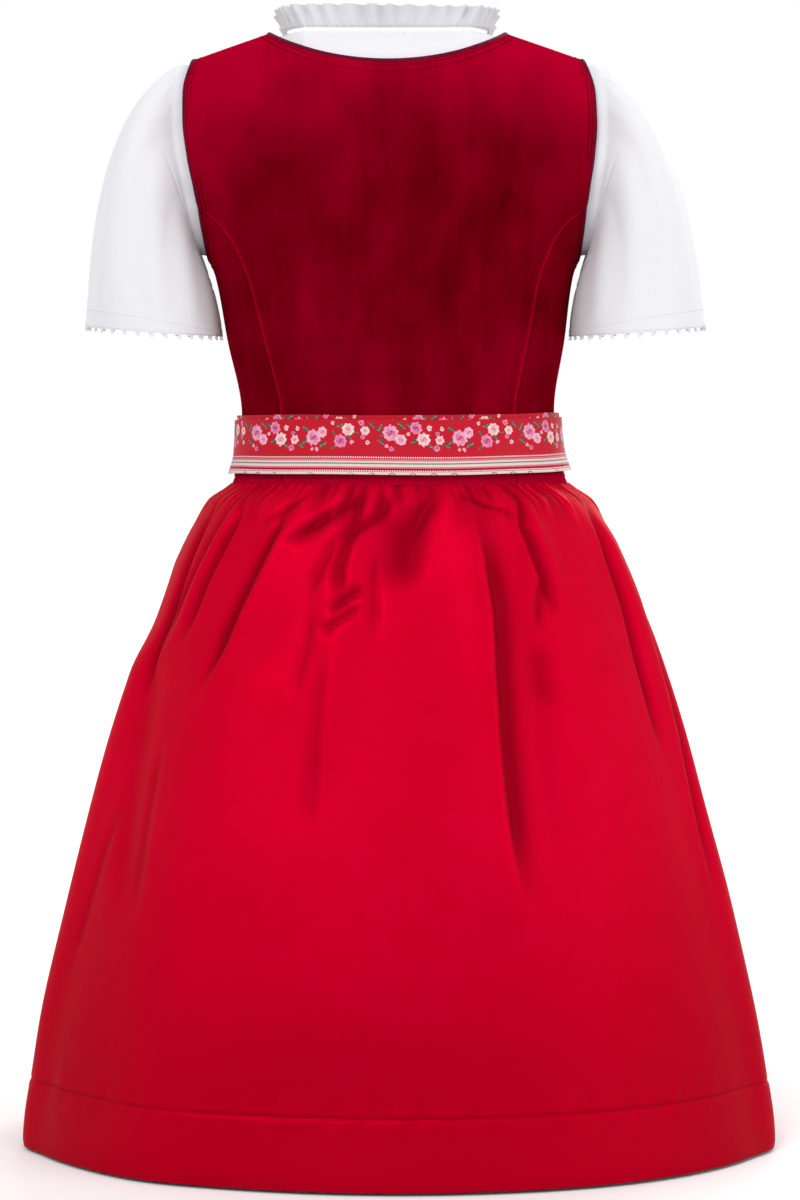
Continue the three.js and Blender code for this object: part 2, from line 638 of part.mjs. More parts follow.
function buttons() {
  const made = [];
  for (let i = 0; i < BUTTON_COUNT; i++) {
    const height = BUTTON_TOP - BUTTON_PITCH * i;
    const disc = new THREE.CylinderGeometry(BUTTON_RADIUS, BUTTON_RADIUS, BUTTON_THICKNESS, 12);
    const mesh = new THREE.Mesh(disc, horn);
    mesh.name = `button_${i + 1}`;
    mesh.position.set(lean(height), -(torsoFront(height) + SEAM + BUTTON_THICKNESS / 2 + 0.4), height);
    made.push(mesh);
  }
  return made;
}

const dirndl = new THREE.Group();
dirndl.add(...bodice(), ...blouse(), ...gownBelow(), knot(), ...buttons());
export default dirndl;
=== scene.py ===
"""A girl's dirndl set: velvet bodice, gathered satin skirt, cotton blouse and an apron tied behind.

Every surface is worked out in millimetres, with the wearer's left at +X, the front at -Y and the neck
points at height 0, and goes into its mesh in metres.
"""
import math

import bpy
import numpy as np
from bpy.props import FloatProperty, FloatVectorProperty, IntProperty, PointerProperty
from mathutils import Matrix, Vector


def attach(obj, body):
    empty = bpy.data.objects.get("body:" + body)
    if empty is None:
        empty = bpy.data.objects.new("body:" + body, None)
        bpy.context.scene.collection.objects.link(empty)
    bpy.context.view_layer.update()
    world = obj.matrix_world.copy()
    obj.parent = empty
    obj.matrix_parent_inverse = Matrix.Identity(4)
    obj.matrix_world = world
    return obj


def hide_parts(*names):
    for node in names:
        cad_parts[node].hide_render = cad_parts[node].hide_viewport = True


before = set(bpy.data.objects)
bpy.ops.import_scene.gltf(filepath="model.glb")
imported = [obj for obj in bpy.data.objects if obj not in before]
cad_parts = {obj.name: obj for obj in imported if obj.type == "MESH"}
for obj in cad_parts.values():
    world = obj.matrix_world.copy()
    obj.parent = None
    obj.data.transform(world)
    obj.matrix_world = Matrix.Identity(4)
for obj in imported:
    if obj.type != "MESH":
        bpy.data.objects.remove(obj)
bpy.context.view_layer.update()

bl_info = {
    "name": "Dirndl set",
    "version": (1, 0, 0),
    "blender": (4, 5, 0),
    "location": "View3D > Sidebar > Dirndl",
    "description": "Builds a girl's dirndl set with its blouse and apron",
    "category": "Add Mesh",
}

METRE = 0.001

# Heights, walls and edges of the cut
WAIST = -322.0
HEM = -791.0
HEM_STITCH = -743.0
BLOUSE_HEM = -196.0
NECK_HALF = 83.0
NECK_BACK_DROP = 26.0
NECK_FRONT_DROP = 92.0
BLOUSE_NECK_HALF = 76.0
BLOUSE_BACK_DROP = 1.0
BLOUSE_FRONT_DROP = 50.0
SHOULDER_SLOPE = 1 / 3
SHOULDER_CROWN = 60.0
SHOULDER_ROLL = 42.0
PRINCESS_TOP = -126.0
ARMHOLE_FLOOR = -160.0
BINDING_WIDTH = 3.0
SEAM = 0.4
CUT_BACK = BINDING_WIDTH - 1.2
LEAN = 9.0
SQUARENESS = 2.3
VELVET_WALL = 1.4
COTTON_WALL = 0.8
SATIN_WALL = 1.0
TIE_WALL = 0.7
COLLAR_WALL = 0.7
APRON_WALL = 0.8
BLOUSE_LIFT = -4.0
TIE_TOP = -272.0
TIE_FOOT = -315.0
BAND_LIFT = 1.9
TIE_INNER_LIFT = 3.5
TIE_OUTER_LIFT = 5.1
TIE_PEEP = 3.2
TIE_RISE = 1.8
APRON_LIFT = 2.2
TIE_END_LENGTH = 250.0

# Sections through the bodice: height, half width, depth behind and before the side seams
TORSO = [
    (-322, 121, 84, 86), (-314, 118, 82, 84), (-300, 114, 80, 82), (-270, 112, 79, 81), (-217, 121, 81, 85),
    (-174, 128, 84, 88), (-160, 132.8, 85, 88.5), (-145, 138, 86, 89), (-126, 144.5, 87, 89),
    (-90, 153.5, 87, 86), (-45, 152.5, 84, 79), (-22, 149, 80, 72), (30, 149, 76, 66),
]

# The edge of the middle panels, princess seam below and armhole above: height and distance from the centre
PANEL_EDGE = [
    (-322, 82), (-268, 84), (-239, 89.6), (-209, 96.5), (-181, 103), (-158, 112), (-141, 123), (-126, 138),
    (-110, 141), (-90, 144.5), (-66, 147), (-45, 146.5), (-19, 140),
]

# Sections through the skirt: height, half width, depth behind and before, squareness of the oval
SKIRT = [
    (-791, 271.5, 200, 200, 2.05), (-743, 263.5, 193, 193, 2.05), (-692, 255, 186, 186, 2.05),
    (-620, 238, 173, 173, 2.05), (-549, 220, 159, 159, 2.05), (-477, 199, 143, 143, 2.08),
    (-405, 173.5, 124, 124, 2.12), (-369, 158, 112, 112, 2.18), (-350, 148.5, 105, 105, 2.22),
    (-333, 137.5, 96, 97, 2.26), (-322, 121, 84, 86, 2.3),
]

# Large folds: degrees from the centre back at the top and foot of each (wearer's left is positive), the
# heights between which it runs, how far it stands out or sinks in, and its half width
FOLDS = [
    (-20, -18, -330, -640, 6, 15), (-26, -25, -335, -600, -4, 13), (-35, -40, -326, -420, 4, 10),
    (-70, -74, -330, -830, 7, 22), (-88, -92, -340, -830, -7, 24), (-1, 3, -326, -420, -4, 16),
    (12, 15, -330, -540, 3, 11), (29, 44, -332, -470, 4.5, 12), (38, 40, -430, -830, 5, 40),
    (52, 60, -324, -440, 4, 11), (66, 52, -440, -640, -4, 16), (74, 76, -420, -830, 7, 22),
    (90, 92, -380, -830, -7, 24), (108, 110, -340, -830, 6, 24), (128, 124, -340, -700, -5, 18),
    (146, 148, -340, -830, 5, 26), (168, 170, -400, -830, -4, 26), (190, 188, -340, -830, 5, 26),
    (212, 210, -340, -720, -5, 20), (236, 240, -340, -830, 6, 24), (254, 252, -340, -640, -4, 16),
]

# Creases of the satin, as paths of (degrees, height), with depth and the half widths towards the wearer's
# right and left. A narrow side makes the sharp flank that shows as a line.
CREASES = [
    ([(30.6, -330), (31.6, -350), (35.2, -381), (38.6, -411), (43.4, -462)], -3.4, 2.6, 7.0),
    ([(66.4, -336), (66.4, -368), (65.2, -410), (66, -470)], -3.0, 3.0, 8.0),
    ([(48.8, -326), (48.6, -347), (52.7, -389), (55, -430)], -2.4, 2.6, 6.0),
    ([(54, -324), (57, -360), (61, -398), (63.2, -432)], -2.2, 3.0, 7.0),
    ([(25.3, -326), (29.7, -337), (36.8, -346)], -1.6, 2.2, 4.5),
    ([(11.2, -330), (18.5, -345), (25.7, -357)], -3.2, 6.0, 5.0),
    ([(14.5, -356), (17, -374), (19.8, -394)], -1.5, 2.2, 5.0),
    ([(8.1, -325), (11.2, -357), (12.9, -377), (12.6, -401)], -2.6, 2.4, 5.0),
    ([(13.2, -404), (11.6, -400), (9.2, -394)], -2.6, 4.0, 4.0),
    ([(2.0, -329), (4.6, -343), (10.3, -355)], -2.6, 3.4, 5.0),
    ([(15, -419), (13.4, -415), (9.4, -407)], -2.2, 3.6, 4.0),
    ([(5.3, -372), (5.0, -396), (4.6, -422)], -1.3, 2.2, 3.4),
    ([(-4.6, -326), (-3.2, -344), (-2.1, -362), (-0.9, -390)], -2.3, 6.0, 9.0),
    ([(18.6, -408), (19.2, -431), (20.9, -464)], -0.9, 2.6, 5.0),
    ([(15.0, -430), (15.6, -477), (15.8, -560)], -1.0, 3.0, 6.0),
    ([(-6.9, -334), (-4.4, -345), (-2.3, -355)], -1.6, 2.6, 3.6),
    ([(-17.9, -328), (-20.2, -369), (-21.0, -408), (-19.9, -449), (-19.4, -490), (-19.5, -532), (-19.8, -566),
      (-21.4, -610)], -3.8, 9.0, 2.4),
    ([(-35.0, -327), (-32.6, -350), (-35.1, -385), (-35.6, -410)], -2.6, 5.0, 2.4),
    ([(-34.0, -391), (-31.5, -415)], -1.8, 3.0, 3.0),
    ([(-17.9, -330), (-22.4, -336), (-28.9, -340)], -1.8, 4.0, 4.0),
    ([(-70.8, -325), (-64.8, -347), (-63.2, -376), (-62.7, -411), (-61.0, -447), (-60.2, -510)],
     -2.6, 7.0, 2.8),
    ([(-84.0, -344), (-76.0, -377), (-71.5, -430), (-69, -520), (-68, -620)], -2.4, 8.0, 3.0),
    ([(-29.5, -436), (-29.5, -470)], -1.2, 8.0, 7.0),
    ([(63, -545), (66, -600), (68, -660)], -1.0, 4.0, 7.0),
    ([(52, -500), (51, -560), (50, -615)], -1.0, 4.0, 7.0),
    ([(104, -330), (107, -372), (111, -430)], -2.6, 3.0, 7.0),
    ([(119, -326), (121, -352), (118, -392)], -2.2, 3.0, 6.0),
    ([(136, -330), (134, -366), (131, -410)], -2.4, 6.0, 3.0),
    ([(-104, -330), (-108, -380), (-110, -450)], -2.6, 7.0, 3.0),
    ([(-122, -326), (-120, -356), (-123, -402)], -2.2, 6.0, 3.0),
    ([(-137, -330), (-133, -366), (-130, -420)], -2.4, 3.0, 6.0),
]

# Print of the ties, one repeat: place along and down the band, radius, petals, turn and kind
REPEAT = 104.0
BLOOMS = [
    (3.0, 11.6, 3.6, 7, 0.3, "pink"), (9.6, 15.4, 5.2, 9, 1.1, "rose"), (22.0, 9.0, 1.5, 5, 0.2, "white"),
    (24.0, 16.8, 3.0, 6, 0.9, "cream"), (26.4, 22.4, 2.2, 5, 0.4, "magenta"),
    (25.4, 12.2, 1.5, 5, 2.0, "magenta"), (35.4, 16.4, 4.4, 8, 0.5, "cream"),
    (40.6, 8.6, 4.2, 8, 1.8, "magenta"), (31.0, 8.4, 1.7, 5, 1.2, "cream"),
    (51.4, 16.8, 3.8, 7, 2.2, "pink"), (58.4, 12.0, 5.4, 9, 0.6, "rose"),
    (58.0, 23.0, 1.8, 5, 0.8, "magenta"), (61.6, 21.2, 1.3, 5, 1.6, "pink"),
    (74.6, 18.8, 1.5, 5, 0.5, "white"), (76.4, 10.6, 3.1, 6, 1.4, "cream"),
    (79.0, 5.2, 1.9, 5, 0.1, "magenta"), (78.2, 15.2, 1.5, 5, 2.6, "magenta"),
    (88.4, 9.8, 4.3, 8, 2.9, "cream"), (94.0, 18.0, 4.4, 8, 0.2, "magenta"),
    (86.0, 18.6, 1.4, 5, 0.2, "pink"), (10.6, 23.6, 1.2, 4, 0.3, "pink"),
    (7.0, 23.8, 1.2, 4, 0.9, "pink"), (46.0, 12.8, 1.3, 5, 0.9, "cream"),
    (99.4, 5.4, 1.2, 5, 0.9, "white"),
]

# Leaves of the print: place, half length and turn
LEAVES = [
    (15.6, 9.4, 2.8, 0.6), (2.6, 20.4, 3.0, -0.5), (16.4, 18.6, 2.6, -0.7), (19.4, 21.0, 2.2, 0.5),
    (41.8, 17.8, 2.4, -0.3), (30.6, 21.2, 2.2, 0.7), (45.4, 7.0, 2.2, 0.4), (51.0, 6.8, 2.9, 0.6),
    (66.0, 8.8, 2.8, -1.0), (65.6, 18.4, 2.8, 0.5), (64.4, 14.0, 1.8, 0.2), (71.6, 7.0, 2.4, 0.8),
    (82.6, 12.0, 1.8, 0.2), (94.6, 7.4, 2.4, -0.4), (87.0, 15.6, 2.2, 0.9), (99.0, 22.4, 2.2, -0.6),
    (98.6, 12.4, 2.0, 1.1),
]

# Stripes of the print, from the top of the band: where each starts, and its colour
STRIPES = [
    (0.0, "ground"), (30.0, "rose"), (31.3, "milk"), (32.6, "sage"), (33.5, "milk"), (35.3, "rose"),
    (36.3, "ground"), (36.9, "wine"), (37.7, "ground"), (39.1, "milk"), (46.0, "ground"),
]
DOT_LINES = (28.9, 38.4)
DOT_PITCH = 1.6


class DirndlSizes(bpy.types.PropertyGroup):
    """Sizes that change how the set is made up."""

    gathers: IntProperty(
        name="Gathers", description="Small gathers round the whole waist of the skirt", default=124,
        min=20, max=200,
    )
    gather_height: FloatProperty(
        name="Gather height", description="How far a gather stands out", default=0.0022, unit="LENGTH"
    )
    crease_depth: FloatProperty(
        name="Crease depth", description="Share of the full depth of the satin's creases", default=1.5,
        subtype="FACTOR", min=0.0, max=2.0,
    )
    stitch_length: FloatProperty(
        name="Stitch length", description="Length of a machine stitch with its gap", default=0.0028,
        unit="LENGTH",
    )
    thread: FloatProperty(
        name="Thread", description="Thickness of the sewing thread", default=0.0005, unit="LENGTH"
    )
    pleats: IntProperty(
        name="Collar pleats", description="Pleats round the whole collar", default=34, min=12, max=60
    )
    picots: IntProperty(
        name="Picots", description="Pointed loops round one cuff", default=31, min=12, max=60
    )


def colour_property(name, description, default):
    return FloatVectorProperty(
        name=name, description=description, default=default, subtype="COLOR", size=3, min=0.0, max=1.0
    )


class DirndlColours(bpy.types.PropertyGroup):
    """Colours of the cloths."""

    # The velvet's own crimson; its material darkens it with painted shade and lightens it with painted light,
    # besides the random variation of the pile.
    velvet: colour_property("Velvet", "Crimson of the velvet where the pile looks deep", (0.18, 0.0, 0.004))
    velvet_sheen: colour_property("Velvet sheen", "Sheen along the edges of the velvet", (1.0, 0.0, 0.13))
    binding: colour_property("Binding", "Dark binding of the bodice", (0.11, 0.002, 0.02))
    satin: colour_property("Satin", "Red of the skirt and the apron", (0.555, 0.0, 0.016))
    cotton: colour_property("Cotton", "White of the blouse", (0.75, 0.75, 0.785))
    ground: colour_property("Print ground", "Red ground of the printed ties", (0.50, 0.002, 0.018))
    button: colour_property("Buttons", "Dark red of the buttons", (0.13, 0.005, 0.02))


def sizes():
    return bpy.context.scene.dirndl_sizes


def colours():
    return bpy.context.scene.dirndl_colours


# Forms

def smooth(low, high, value):
    """0 below low, 1 above high, and 3t^2 - 2t^3 between."""
    t = np.clip((value - low) / (high - low), 0, 1)
    return t * t * (3 - 2 * t)


def bell(value, width):
    """exp(-(value / width)^2): 1 in the middle and 0.02 at two widths from it."""
    return np.exp(-((value / width) ** 2))


def unit(vectors):
    return vectors / np.maximum(np.linalg.norm(vectors, axis=-1, keepdims=True), 1e-12)


def curve(table, column):
    """A cubic through a column of a table, over height, with harmonic means as slopes, so it never swings."""
    rows = np.array(sorted(table), float)
    heights = rows[:, 0]
    values = rows[:, column]
    slopes = np.diff(values) / np.diff(heights)
    product = slopes[:-1] * slopes[1:]
    total = slopes[:-1] + slopes[1:]
    middle = np.where(product > 0, 2 * product / np.where(product > 0, total, 1), 0)
    tangents = np.concatenate([slopes[:1], middle, slopes[-1:]])

    def at(z):
        z = np.clip(z, heights[0], heights[-1])
        i = np.clip(np.searchsorted(heights, z) - 1, 0, len(heights) - 2)
        span = heights[i + 1] - heights[i]
        t = (z - heights[i]) / span
        rise = t * t * (3 - 2 * t)
        bend = t * (1 - t) * span
        straight = values[i] + (values[i + 1] - values[i]) * rise
        return straight + bend * ((1 - t) * tangents[i] - t * tangents[i + 1])

    return at


torso_half, torso_back, torso_front = (curve(TORSO, column) for column in (1, 2, 3))
skirt_half, skirt_back, skirt_front, skirt_square = (curve(SKIRT, column) for column in (1, 2, 3, 4))
panel_edge = curve(PANEL_EDGE, 1)


def signed_power(value, power):
    return np.sign(value) * np.abs(value) ** power


def shoulder(x):
    """Height of the shoulder line over a distance from the centre: level at the neck, then sloping down."""
    return (NECK_HALF - np.maximum(np.abs(x), SHOULDER_CROWN)) * SHOULDER_SLOPE


def torso(angle, z):
    """Points of the bodice: an oval, x = half sin^p and y = depth cos^p, that rolls over to the shoulder."""
    angle, z = np.broadcast_arrays(np.asarray(angle, float), np.asarray(z, float))
    power = 2 / SQUARENESS
    x = torso_half(z) * signed_power(np.sin(angle), power)
    depth = np.where(np.cos(angle) >= 0, torso_back(z), torso_front(z))
    drop = np.clip((shoulder(x) - z) / SHOULDER_ROLL, 0, 1)
    roll = np.sqrt(1 - (1 - drop) ** 2)
    parting = np.sign(np.cos(angle)) * (SEAM / 2) * (1 - roll)
    return np.stack([x, depth * signed_power(np.cos(angle), power) * roll + parting, z], -1)


def angle_at(x, z):
    """The angle behind the side seam at which the bodice is this far from the centre line."""
    return np.arcsin(np.minimum(1, (x / torso_half(z)) ** (SQUARENESS / 2)))


def turned(angle):
    return np.arctan2(np.sin(angle), np.cos(angle))


def fold_relief(angle, z, radius):
    """Sum of the large folds: height exp(-(arc / width)^2) across each, faded in and out at its ends."""
    out = np.zeros_like(z)
    for top, foot, start, end, height, width in FOLDS:
        along = np.clip((start - z) / (start - end), 0, 1)
        arc = turned(angle - np.radians(top + (foot - top) * along)) * radius
        ends = smooth(0, 40, start - z + 6) * (1 - smooth(-70, 0, end - z))
        out += height * ends * bell(arc, width)
    return out


def crease_relief(angle, z, radius):
    """Sum of the creases: depth exp(-(arc / width)^2) with its own width on each side of a bent path."""
    out = np.zeros_like(z)
    for path, depth, right, left in CREASES:
        places = np.array(sorted(path, key=lambda place: place[1]))
        middle = np.interp(z, places[:, 1], places[:, 0])
        arc = turned(angle - np.radians(middle)) * radius
        width = np.where(arc < 0, right, left)
        reach = 0.25 * (places[-1, 1] - places[0, 1]) + 4
        start = smooth(-4, reach, places[-1, 1] + 4 - z)
        end = smooth(-4, reach, z - places[0, 1] + 4)
        out += depth * start * end * bell(arc, width)
    return out * sizes().crease_depth


def gather_relief(angle, z, radius, top):
    """Small uneven gathers under a seam at height top: ridges of own place, height, length and slant."""
    count = sizes().gathers
    random = np.random.default_rng(11)
    places = (np.arange(count) + random.uniform(-0.36, 0.36, count)) / count * 2 * np.pi
    heights = random.uniform(0.45, 1.25, count) * sizes().gather_height / METRE
    lengths = random.uniform(8, 34, count)
    slants = random.normal(0, 0.10, count)
    widths = random.uniform(1.1, 2.3, count)
    below = np.maximum(top - z, 0)
    out = np.zeros_like(z)
    for place, height, length, slant, width in zip(places, heights, lengths, slants, widths):
        spread = width * (1 + below / 22)
        arc = turned(angle - place) * radius - slant * below
        out += height * bell(below, length) * bell(arc, spread)
    return (out - 0.6) * bell(below, 30)


def slanted_relief(creases, angle, height, radius, relief, rise=1.0):
    """A relief with short creases added, each a bell along its slant times a bell across it."""
    for turn, level, slant, length, width, depth in creases:
        arc = turned(angle - math.radians(turn)) * radius
        up = (height - level) * rise
        along = arc * math.cos(slant) + up * math.sin(slant)
        across = -arc * math.sin(slant) + up * math.cos(slant)
        relief = relief + depth * bell(along, length) * bell(across, width)
    return relief


def unevenness(angle, z, seed, scale, count=14):
    """Soft unevenness of made-up cloth: a sum of long waves in angle and height, about 1 high."""
    random = np.random.default_rng(seed)
    out = np.zeros(np.broadcast(angle, z).shape)
    for _ in range(count):
        turns = random.integers(2, 12)
        length = random.uniform(90, 320) * scale
        start = random.uniform(0, 2 * np.pi, 2)
        out += np.cos(turns * angle + start[0]) * np.cos(2 * np.pi * z / length + start[1])
    return out / math.sqrt(count)


def hem_relief(angle, z):
    """The turned-up hem: a sunk stitch line, uneven puckers above and below it, and a fuller band beneath."""
    from_line = z - HEM_STITCH
    line = -0.75 * bell(from_line, 1.5)
    patches = 0.35 + 0.65 * smooth(-0.3, 0.7, np.cos(3 * angle + 0.7) + 0.8 * np.cos(7 * angle - 1.2))
    reach = bell(from_line, np.where(from_line > 0, 11, 7))
    phase = angle * 46 + 1.4 * np.sin(angle * 9) + 0.03 * from_line
    puckers = 0.62 * patches * reach * (np.cos(phase) + 0.6 * np.cos(1.71 * phase + 1))
    band = 0.5 * smooth(1, -4, from_line) * smooth(-48, -40, from_line)
    return line + puckers + band


def skirt(angle, z):
    """Points of the skirt: an oval ring moved outwards by its folds, creases, gathers and hem."""
    angle, z = np.broadcast_arrays(np.asarray(angle, float), np.asarray(z, float))
    power = 2 / skirt_square(z)
    half = skirt_half(z)
    depth = np.where(np.cos(angle) >= 0, skirt_back(z), skirt_front(z))
    x = half * signed_power(np.sin(angle), power)
    y = depth * signed_power(np.cos(angle), power)
    radius = np.hypot(x, y)
    out = fold_relief(angle, z, radius) + crease_relief(angle, z, radius)
    out = out + gather_relief(angle, z, radius, WAIST) + hem_relief(angle, z)
    out = out + 0.8 * unevenness(angle, z, 3, 1.0) * smooth(WAIST - 20, WAIST - 140, z)
    outward = unit(np.stack([x / half**2, y / depth**2], -1))
    return np.stack([x + out * outward[..., 0], y + out * outward[..., 1], z], -1)


def gown(angle, z):
    """The bodice above the waist and the skirt below it."""
    return np.where((z > WAIST)[..., None], torso(angle, z), skirt(angle, z))


def lean(z):
    """The body leans a little to the wearer's left towards the shoulders."""
    return LEAN * np.clip(1 - z / WAIST, 0, 1.1)


def neckline(x, half, drop):
    """Height of a neckline: a scoop of (1 - t^2)^0.7 between the neck points, then the shoulder line."""
    across = np.clip(np.abs(x) / half, 0, 1)
    scoop = shoulder(half) - drop * (1 - across**2) ** 0.7
    return np.where(np.abs(x) > half, shoulder(x), scoop)


def height_at(heights, v):
    """Place v, from 0 to 1, along a list of heights."""
    return np.interp(v * (len(heights) - 1), np.arange(len(heights)), heights)


def shares(count, ends=0, finest=0.0):
    """Places from 0 to 1 in equal steps, with extra ones near both ends."""
    inner = np.linspace(0, 1, count + 1)
    if not ends:
        return inner
    extra = finest * np.arange(1, ends + 1)
    return np.unique(np.round(np.concatenate([inner, extra, 1 - extra]), 6))


MIRROR = np.array([-1.0, 1.0, 1.0])

# Corners of a quad of a grid: steps to the next row and to the next column
CORNERS = ((0, 0), (1, 0), (1, 1), (0, 1))


def grid_normals(points, wrap):
    """Unit normals of a grid: the step along a row crossed with the step down a column."""
    if wrap:
        ring = points[:, :-1]
        along = np.roll(ring, -1, 1) - np.roll(ring, 1, 1)
        along = np.concatenate([along, along[:, :1]], 1)
    else:
        along = np.gradient(points, axis=1)
    down = np.gradient(points, axis=0)
    return unit(np.cross(along, down))


def spans(points):
    """Mean lengths along the rows and down the columns of a grid, summed from its first corner."""
    along = np.linalg.norm(np.diff(points, axis=1), axis=-1).mean(0)
    down = np.linalg.norm(np.diff(points, axis=0), axis=-1).mean(1)
    return np.concatenate([[0], np.cumsum(along)]), np.concatenate([[0], np.cumsum(down)])


def grid_quads(rows, columns, ring, lines=None):
    """Quads of a grid with ring points to a row, closed round at ring and, where given, at lines rows."""
    i, j = np.mgrid[0:rows, 0:columns]
    lines = lines or rows + 1
    return np.stack([((i + a) % lines) * ring + (j + b) % ring for a, b in CORNERS], -1).reshape(-1, 4)


def grid_places(rows, columns, along, down):
    """Places in the cloth of the corners of a grid's quads."""
    i, j = np.mgrid[0:rows, 0:columns]
    return np.stack([np.stack([along[j + b], down[i + a]], -1) for a, b in CORNERS], -2).reshape(-1, 4, 2)


def pole_caps(rows, ring):
    """Quads that close a round grid with the two points that follow its own, one at each end."""
    pairs = np.arange(0, ring, 2)
    fan = [pairs, (pairs + 1) % ring, (pairs + 2) % ring]
    low = (rows - 1) * ring
    first = np.full(len(pairs), rows * ring)
    top = np.stack([first, *fan], -1)
    foot = np.stack([first + 1, *[low + at for at in fan[::-1]]], -1)
    return np.concatenate([top, foot])


def put_mesh(name, vertices, faces, places, material, crisp=50.0):
    """A mesh object from arrays: vertices in millimetres, quads, and a place in the cloth for each corner."""
    vertices = np.array(vertices, float)
    vertices[:, 0] += lean(vertices[:, 2])
    mesh = bpy.data.meshes.new(name)
    mesh.vertices.add(len(vertices))
    mesh.vertices.foreach_set("co", (vertices * METRE).astype(np.float32).ravel())
    mesh.loops.add(faces.size)
    mesh.loops.foreach_set("vertex_index", faces.astype(np.int32).ravel())
    mesh.polygons.add(len(faces))
    mesh.polygons.foreach_set("loop_start", np.arange(0, faces.size, faces.shape[1], dtype=np.int32))
    mesh.update(calc_edges=True)
    layer = mesh.uv_layers.new(name="Cloth")
    layer.uv.foreach_set("vector", (places * METRE).astype(np.float32).ravel())
    mesh.polygons.foreach_set("use_smooth", np.ones(len(faces), bool))
    if mesh.validate():
        raise RuntimeError(f"the mesh of {name} is not sound")
    if crisp:
        mesh.set_sharp_from_angle(angle=math.radians(crisp))
    mesh.materials.append(material)
    piece = bpy.data.objects.new(name, mesh)
    bpy.context.scene.collection.objects.link(piece)
    return piece


def face_out(vertices, faces):
    """The quads turned so that the closed mesh has a positive volume."""
    a, b, c, d = (vertices[faces[:, i]] for i in range(4))
    volume = np.einsum("ij,ij->i", a, np.cross(b, c)) + np.einsum("ij,ij->i", a, np.cross(c, d))
    return faces if volume.sum() > 0 else faces[:, ::-1]


def put_closed(name, vertices, faces, places, material, crisp=0):
    """A closed mesh object whose quads are turned outwards."""
    out = face_out(vertices, faces)
    return put_mesh(name, vertices, out, places if out is faces else places[:, ::-1], material, crisp)


def cloth_arrays(points, thickness, side=1, wrap=False, origin=(0, 0)):
    """A closed wall of cloth under a grid of points. A wrapped grid repeats its first column as its last."""
    under = points - side * thickness * grid_normals(points, wrap)
    rows, columns = points.shape[0] - 1, points.shape[1] - 1
    ring = columns if wrap else columns + 1
    along, down = spans(points)
    face = points[:, :ring].reshape(-1, 3)
    back = under[:, :ring].reshape(-1, 3)
    outer = grid_quads(rows, columns, ring)
    place = grid_places(rows, columns, along, down)
    count = len(face)
    faces = [outer, outer[:, ::-1] + count]
    places = [place, place[:, ::-1]]

    def rim(rows_at, columns_at):
        a = rows_at * ring + columns_at % ring
        at = np.stack([along[columns_at], down[rows_at]], -1)
        quads = np.stack([a[:-1], a[1:], a[1:] + count, a[:-1] + count], -1)
        spots = np.stack([at[:-1], at[1:], at[1:], at[:-1]], 1)
        faces.append(quads)
        places.append(spots)

    every_column = np.arange(columns + 1)
    every_row = np.arange(rows + 1)
    rim(np.zeros(columns + 1, int), every_column)
    rim(np.full(columns + 1, rows), every_column[::-1])
    if not wrap:
        rim(every_row[::-1], np.zeros(rows + 1, int))
        rim(every_row, np.full(rows + 1, columns))
    vertices = np.concatenate([face, back])
    faces = np.concatenate(faces)
    places = np.concatenate(places) + np.array(origin, float)
    if face_out(vertices, faces) is not faces:
        faces = faces[:, ::-1]
        places = places[:, ::-1]
    return vertices, faces, places


def cloth(name, points, thickness, material, side=1, wrap=False, origin=(0, 0), painted_light=None):
    """A piece of cloth. Its painted light, from -1 to 1, is painted shade where the cloth is hollow and
    painted highlight where it catches light.
    """
    piece = put_mesh(name, *cloth_arrays(points, thickness, side, wrap, origin), material)
    # The painted light is stored on the points for the materials to read as painted shade and painted
    # highlight.
    if painted_light is not None:
        kept = painted_light[:, :-1] if wrap else painted_light
        layer = piece.data.attributes.new("PaintedLight", "FLOAT", "POINT")
        layer.data.foreach_set("value", np.tile(kept.ravel(), 2).astype(np.float32))
    return piece


def mirrored(points):
    """The same grid on the wearer's right, with its columns in turned order."""
    return points[:, ::-1] * MIRROR


def moved_out(points, relief, side=1, wrap=False):
    """The grid moved along its normals by a relief."""
    return points + side * relief[..., None] * grid_normals(points, wrap)


def cord_mesh(path, across, normal, half_width, half_height, sides=10):
    """A tube of rounded section round a closed path: across cos^0.8 and normal sin^0.8 at each point."""
    turn = np.linspace(0, 2 * np.pi, sides, endpoint=False)
    flat = signed_power(np.cos(turn), 0.8) * half_width
    high = signed_power(np.sin(turn), 0.8) * half_height
    ring = path[:, None] + flat[None, :, None] * across[:, None] + high[None, :, None] * normal[:, None]
    count = len(path)
    length = length_along(np.concatenate([path, path[:1]]))
    girth = np.arange(sides + 1) * (2 * (half_width + half_height) * 0.8 / sides * 2)
    order = [0, 3, 2, 1]
    faces = grid_quads(count, sides, sides, count)[:, order]
    return ring.reshape(-1, 3), faces, grid_places(count, sides, girth, length)[:, order, ::-1]


def length_along(points):
    """Length of a path from its first point to each point."""
    return np.concatenate([[0], np.cumsum(np.linalg.norm(np.diff(points, axis=0), axis=1))])


def resampled(points, step):
    """Points in equal steps along a path, with their tangents."""
    length = length_along(points)
    count = max(2, int(length[-1] / step))
    at = (np.arange(count) + 0.5) * length[-1] / count
    made = np.stack([np.interp(at, length, points[:, k]) for k in range(3)], -1)
    tangent = np.gradient(made, axis=0)
    return made, unit(tangent), at


